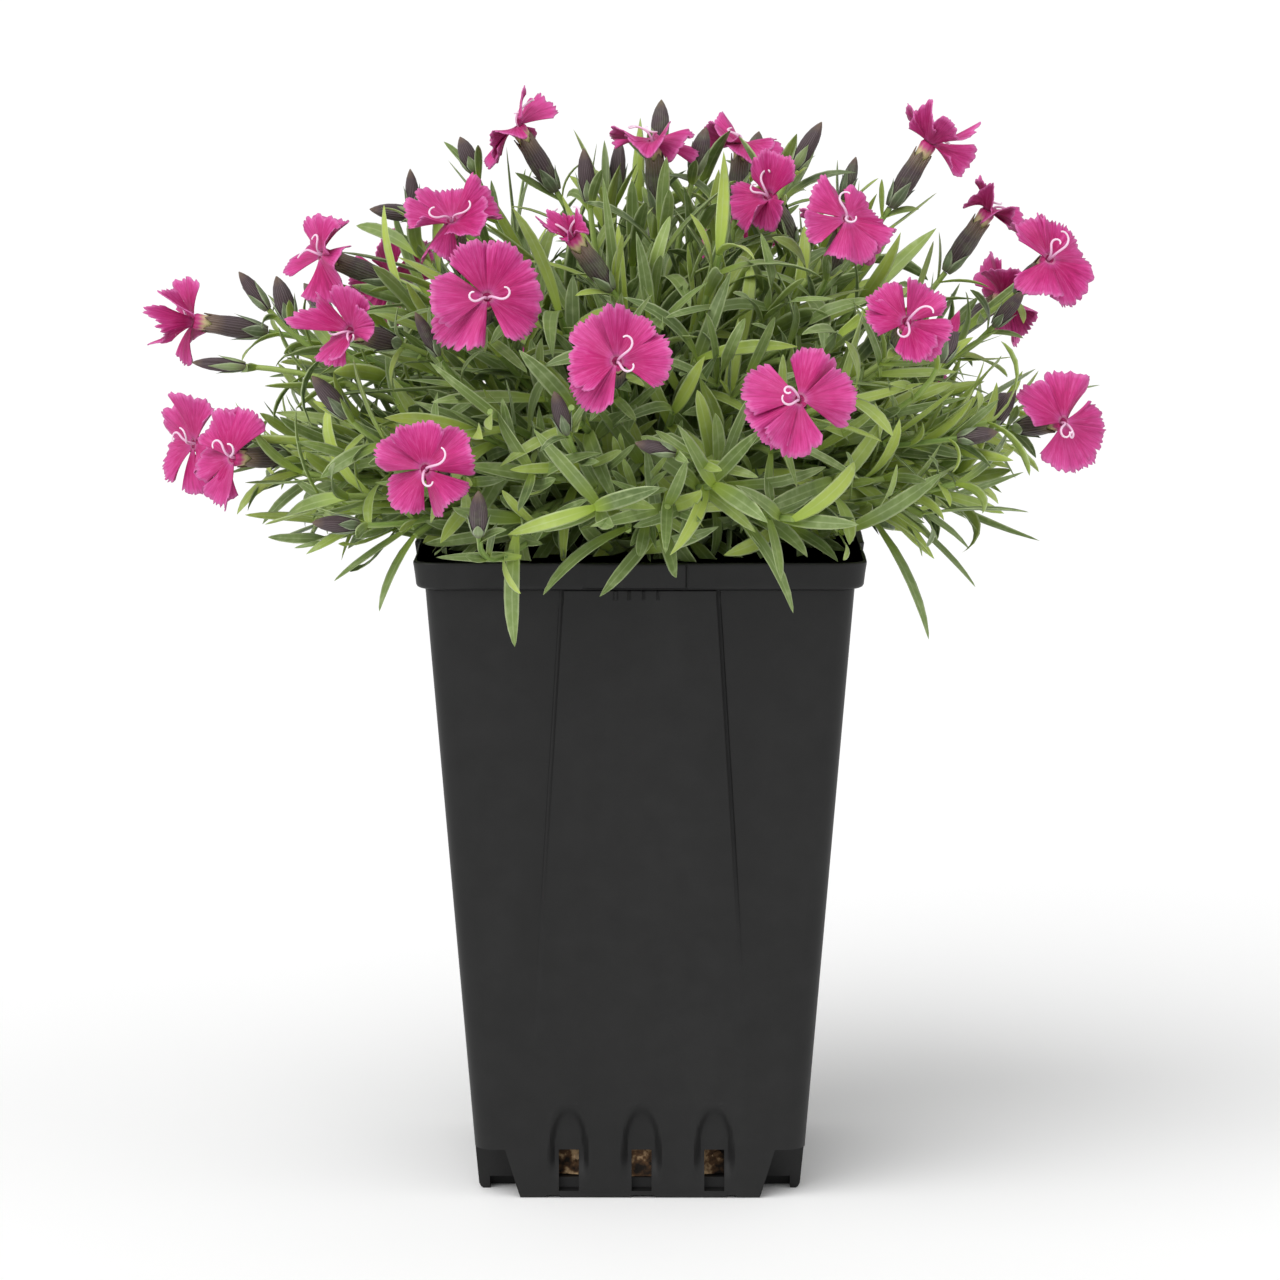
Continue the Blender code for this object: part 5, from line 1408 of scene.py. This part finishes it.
def clear_of(one, guarded):
    """Whether a leaf's spine, widened, meets none of the guarded pieces."""
    points, halves, asides = one["points"], one["half"], one["aside"]
    left = [p + a * (h + LEAF_CLEARANCE) for p, h, a in zip(points, halves, asides)]
    right = [p - a * (h + LEAF_CLEARANCE) for p, h, a in zip(points, halves, asides)]
    count = len(points)
    faces = [(i, i + 1, count + i + 1, count + i) for i in range(1, count - 1)]
    return not BVHTree.FromPolygons(left + right, faces).overlap(guarded)


def inside_dome(point):
    """Whether a leaf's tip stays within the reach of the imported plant."""
    across = max(abs(point.x), abs(point.y))
    if across < 56 * MM:
        return point.z > 160 * MM
    if across < 74 * MM and point.z < 172 * MM:
        return False
    flat = math.hypot(point.x / (112 * MM), point.y / (100 * MM))
    high = max(0.0, point.z - CROWN_CENTRE.z) / (104 * MM)
    return math.hypot(flat, high) < 1.0 and point.z > 158 * MM


# ---------------------------------------------------------------- blooms, calyces and buds


def petal_points(number, rise, size, draw, where):
    """Five points, each with the numbers that shape one petal; lift and size are the solids' own."""
    radius = BLOOM_RADIUS * size
    labels = ("turn", "lift", "reach", "spread", "wave", "phase", "curl", "fold", "tone")
    rows = {label: [] for label in labels}
    fine = random.Random(SEED * 17 + number)
    ways = PETAL_WAYS.get(number)
    for petal in range(PETALS):
        lift = math.radians(rise + draw.uniform(-7, 7) + fine.uniform(-9, 9))
        wave = draw.uniform(0.4, 1.0) * MM
        turn = math.radians(360 / PETALS * petal + draw.uniform(-2, 2) + fine.uniform(-9, 9))
        if ways:
            turn = math.radians(ways[petal])
        if number in PETAL_TILTS:
            high, tilt = PETAL_TILTS[number]
            way = where.to_3x3() @ level_way(turn)
            lift += math.radians(tilt) * way.dot(Vector(high).normalized())
        broad = 1.18 if number in PETAL_TILTS else 1.04
        values = (
            turn, lift, radius * fine.uniform(0.90, 1.04), broad * fine.uniform(0.58, 0.70),
            wave * fine.uniform(2.0, 4.2), fine.uniform(0, 6), fine.uniform(-4.0, 1.2) * MM,
            fine.uniform(-0.50, 0.42), fine.uniform(0.25, 1.0),
        )
        for label, value in zip(rows, values):
            rows[label].append(value)
    mesh = bpy.data.meshes.new("petals")
    mesh.from_pydata([(0.0, 0.0, 0.0)] * PETALS, [], [])
    return store(mesh, **rows)


def body_of(name, profile, sides, tone, material, length):
    """A lathed body with its shares along and round it stored for its material."""
    mesh = mesh_of(name, loft([circle(radius, z, sides) for radius, z in profile]))
    top = max(z for _, z in profile)
    along = [(top - vertex.co.z) / length for vertex in mesh.vertices]
    across = [math.atan2(vertex.co.y, vertex.co.x) / math.pi for vertex in mesh.vertices]
    store(mesh, along=along, across=across, tone=[tone] * len(mesh.vertices))
    mesh.materials.append(material)
    mesh.shade_smooth()
    return new_object(name, mesh)


def style_strips(draw):
    """Two styles that stand out of the throat, lean over the petals and end in a sideways hook."""
    strips = []
    first = draw.uniform(0, math.tau)
    count = 20
    for order in range(2):
        angle = first + order * draw.uniform(1.0, 2.6)
        out, side = level_way(angle), left_way(angle)
        length = draw.uniform(9.0, 12.5) * MM
        hook = draw.uniform(2.6, 5.2) * draw.choice((-1, 1))
        lowest = draw.uniform(0.10, 0.45)
        points, asides = [], []
        place = UP * -1.2 * MM + out * 0.3 * MM
        for i in range(count + 1):
            t = i / count
            lean = math.pi / 2 + (lowest - math.pi / 2) * smooth_step(t, 0.0, 0.5)
            swing = hook * max(0.0, (t - 0.42) / 0.58) ** 1.6
            flat = math.cos(swing) * out + math.sin(swing) * side
            way = math.cos(lean) * flat + math.sin(lean) * UP
            points.append(place.copy())
            aside = asides[-1] - asides[-1].dot(way) * way if asides else way.orthogonal()
            asides.append(aside.normalized())
            place = place + way * length / count
        halves = [0.34 * MM * (1.0 - 0.35 * (i / count) ** 3) for i in range(count + 1)]
        strips.append(strip(points, halves, asides, 0.5))
    return strips


def build_bloom(number, trees, skins):
    place, facing, rise, size = BLOOMS[number - 1]
    draw = own_draw(BLOOM_DRAWS, number)
    roll = draw.uniform(0, math.tau / PETALS)
    where = facing_frame(place, facing, 0.0 if number in PETAL_WAYS else roll)
    fine = random.Random(SEED * 7 + number)
    spots = petal_points(number, rise, size, draw, where)
    petals = grown("petals", spots, trees["petals"], {"Material": skins["petal"]}, PETAL_THICKNESS)
    profile = [(radius * MM, z * MM) for radius, z in THROAT_PROFILE]
    profile += [(2.0 * MM, -NECK_LENGTH), (1.9 * MM, -NECK_LENGTH - 2.4 * MM)]
    throat = body_of("throat", profile, 18, 0.4, skins["neck"], 5.4 * MM)
    styles = grown("styles", strips_mesh("styles", style_strips(fine)), trees["blades"],
                   {"Ring Points": 6, "Thickness": 1.0, "Channel": 0.0, "Material": skins["style"]})
    bloom = joined(f"bloom_{number:02d}_petals", [petals, throat, styles])
    bloom.data.transform(where)
    stand_in(bloom, "petals", f"bloom_{number:02d}")
    return where


def radius_at(profile, z):
    """The radius of a lathed body at a height, from its profile's outer side."""
    rows = [(height, radius) for radius, height in profile]
    rows = [row for i, row in enumerate(rows) if i == 0 or row[0] > rows[i - 1][0]]
    return between(rows, z)[0]


def bract_strips(draw, foot, profile, length, width, count=4):
    """The pointed bracts that hug the foot of a calyx or a bud."""
    strips = []
    tone, turn = draw.uniform(0.1, 0.9), draw.uniform(0, math.tau)
    for order in range(count):
        angle = turn + math.tau * order / count
        out, side = level_way(angle), left_way(angle)
        long = length * (1.0 if order % 2 else 0.78)
        points, halves = [], []
        for t in BRACT_SHARES:
            clear = radius_at(profile, foot + long * t) + 0.30 * MM + 2.2 * MM * max(0.0, t - 0.78)
            points.append(out * clear + Vector((0, 0, foot + long * t)))
            broad = math.sin(min(1.0, 0.35 + 0.65 * t / 0.4) * math.pi / 2)
            halves.append(max(0.06 * MM, width * broad * (1 - max(0.0, (t - 0.4) / 0.6) ** 1.3)))
        alongs = [0.12 + 0.88 * t for t in BRACT_SHARES]
        strips.append(strip(points, halves, [-side] * len(points), tone, alongs))
    return strips


def build_bracts(strips, channel, trees, skins):
    values = {"Thickness": 0.14, "Channel": channel, "Material": skins["bract"]}
    return grown("scales", strips_mesh("scales", strips), trees["blades"], values)


def toothed_top(mesh, top, reach, teeth=5):
    """Draws the upper rim of a body out into pointed teeth."""
    for vertex in mesh.vertices:
        if vertex.co.z > top - 0.05 * MM:
            angle = math.atan2(vertex.co.y, vertex.co.x) * teeth / math.tau
            point = 1.0 - 2.0 * abs(angle - math.floor(angle) - 0.5)
            vertex.co.z += reach * point ** 1.2
            vertex.co.x *= 1.0 + 0.12 * point
            vertex.co.y *= 1.0 + 0.12 * point


def build_calyx(number, where, trees, skins):
    draw = random.Random(SEED * 11 + number)
    mouth = -NECK_LENGTH - GAP
    low = mouth - CALYX_LENGTH
    tone = draw.uniform(0.0, 0.5)
    profile = [(radius * MM, low + z * MM) for radius, z in CALYX_PROFILE]
    profile += [(radius * MM, mouth - z * MM) for radius, z in CALYX_MOUTH_PROFILE]
    tube_body = body_of("tube", profile, 30, tone, skins["calyx"], CALYX_LENGTH)
    toothed_top(tube_body.data, mouth - 1.58 * MM, 2.3 * MM)
    strips = bract_strips(draw, low, profile, draw.uniform(7.5, 9.5) * MM, 1.7 * MM)
    scales = build_bracts(strips, -0.34, trees, skins)
    calyx = joined(f"calyx_{number:02d}_tube", [tube_body, scales])
    calyx.data.transform(where)
    stand_in(calyx, "calyces", f"calyx_{number:02d}")


def build_buds(buds, trees, skins):
    items = []
    for number, (where, length) in enumerate(buds):
        draw = random.Random(SEED * 13 + number)
        tone = draw.uniform(-0.15, 0.35)
        girth = 2.55 * MM * draw.uniform(0.68, 1.04)
        length *= draw.uniform(0.80, 1.0)
        profile = [(girth * wide, length * t - 0.5 * MM) for t, wide in BUD_PROFILE]
        body = body_of("bud", profile, 20, tone, skins["calyx"], length)
        strips = bract_strips(draw, -0.4 * MM, profile, length * draw.uniform(0.45, 0.72), girth * 0.62)
        pieces = [body, build_bracts(strips, -0.36, trees, skins)]
        if number == PINK_TIPPED_BUD:
            shares = enumerate(PINK_TIP_GIRTHS)
            tip = [(girth * share * 0.55, length * 0.72 + i * 1.5 * MM) for i, share in shares]
            pieces.append(body_of("tip", tip, 16, 0.5, skins["petal"], 8 * MM))
        one = joined("bud", pieces)
        one.data.transform(where)
        items.append(one)
    piece = joined("closed_buds", items)
    stand_in(piece, "foliage", "foliage")


def build_plant(trees, skins):
    draw = random.Random(SEED)
    stems, buds, guarded = all_stems()
    leaves = packed_leaves(draw)
    roots = KDTree(len(leaves))
    for order, one in enumerate(leaves):
        roots.insert(one["points"][0], order)
    roots.balance()
    filling = grown_shoots("filling", filling_ends(draw), draw, guarded)
    low = grown_shoots("rim", rim_ends(draw), draw, guarded)
    low += grown_shoots("flank", flank_ends(draw), draw, guarded)
    shown, shown_ways = shown_leaves(guarded)
    for name, strips in (
        ("leaves_outer", lambda: leaves + added_leaves(stems, draw, guarded, roots) + shown),
        ("leaves_inner", lambda: added_leaves(filling, draw, guarded, roots)),
        ("leaves_low", lambda: added_leaves(low, draw, guarded, roots)),
    ):
        piece = grown(name, strips_mesh(name, strips()), trees["blades"], {"Material": skins["leaf"]})
        stand_in(piece, "foliage", "foliage")
    strips = []
    for kind, points in stems + filling + low:
        radius = STEM_RADIUS if kind in ("bloom", "bud") else 1.05 * MM
        strips.append(stem_strip(points, radius, draw.uniform(0.2, 0.9)))
    ways = [low_stem(Vector(foot) * MM) for foot in LONG_LEAF_FEET] + shown_ways
    strips.extend(stem_strip(points, 1.1 * MM, 0.6) for points in ways)
    round_bar = {"Ring Points": 7, "Thickness": 1.0, "Channel": 0.0, "Material": skins["stem"]}
    stand_in(grown("stems", strips_mesh("stems", strips), trees["blades"], round_bar), "foliage", "foliage")
    build_buds(buds, trees, skins)


# ---------------------------------------------------------------- stage, light and camera


def build_stage():
    mesh = mesh_of("floor", (box_ring(-FLOOR_HALF, FLOOR_HALF, -FLOOR_HALF, FLOOR_HALF, 0), [(0, 1, 2, 3)]))
    floor = new_object("floor", mesh)
    material, _ = new_material("studio_floor", Roughness=0.9, Base_Color=hex_linear("FAFAFA"))
    mesh.materials.append(material)


def build_light():
    """A white room and two very wide suns, which light the floor evenly as far as it is seen."""
    world = bpy.data.worlds.new("studio")
    bpy.context.scene.world = world
    world.use_nodes = True
    background = world.node_tree.nodes["Background"]
    background.inputs["Color"].default_value = (1.0, 1.0, 1.0, 1.0)
    background.inputs["Strength"].default_value = 0.50
    for name, place, spread, power in (
        ("key_left", (-1.0, -1.3, 1.7), 62.0, 2.3),
        ("fill_right", (1.5, -1.0, 1.0), 70.0, 0.6),
    ):
        data = bpy.data.lights.new(name, "SUN")
        data.angle = math.radians(spread)
        data.energy = power
        lamp = bpy.data.objects.new(name, data)
        lamp.rotation_euler = (-Vector(place)).to_track_quat("-Z", "Y").to_euler()
        bpy.context.scene.collection.objects.link(lamp)
    bpy.context.scene.view_settings.view_transform = "Standard"


def build_camera():
    data = bpy.data.cameras.new("camera")
    data.lens = CAMERA_LENS
    data.sensor_width = CAMERA_SENSOR
    data.clip_end = 200.0
    camera = bpy.data.objects.new("camera", data)
    camera.location = CAMERA_PLACE
    camera.rotation_euler = (math.radians(CAMERA_TILT), 0.0, 0.0)
    bpy.context.scene.collection.objects.link(camera)
    bpy.context.scene.camera = camera


def main():
    skins = {
        "leaf": leaf_cuticle("leaf_cuticle_grey_green", "44582A", "758A49", "A8BB50", "99B044", "BAC996"),
        "stem": leaf_cuticle("stem_cuticle_pale_green", "62803A", "86A04E", "A6B866", "9AB458", "A6B870"),
        "bract": leaf_cuticle("bract_cuticle_grey_green", "4C5640", "6A7A58", "8C9E66", "5A4A48", "B4BFA0"),
        "petal": petal_velvet(),
        "neck": neck_green(),
        "style": style_white(),
        "calyx": calyx_skin(),
    }
    trees = {"blades": blade_tree(), "petals": petal_tree(), "crumbs": crumb_tree()}
    nodes = frame["nodes"]
    plastic, earth = moulded_polypropylene(), peat()
    nodes["soil"].data.materials.clear()
    nodes["soil"].data.materials.append(earth)
    build_pot(plastic)
    build_crumbs(trees["crumbs"], bark_chip())
    build_plant(trees, skins)
    for number in range(1, len(BLOOMS) + 1):
        where = build_bloom(number, trees, skins)
        build_calyx(number, where, trees, skins)
    build_stage()
    build_light()
    build_camera()


main()
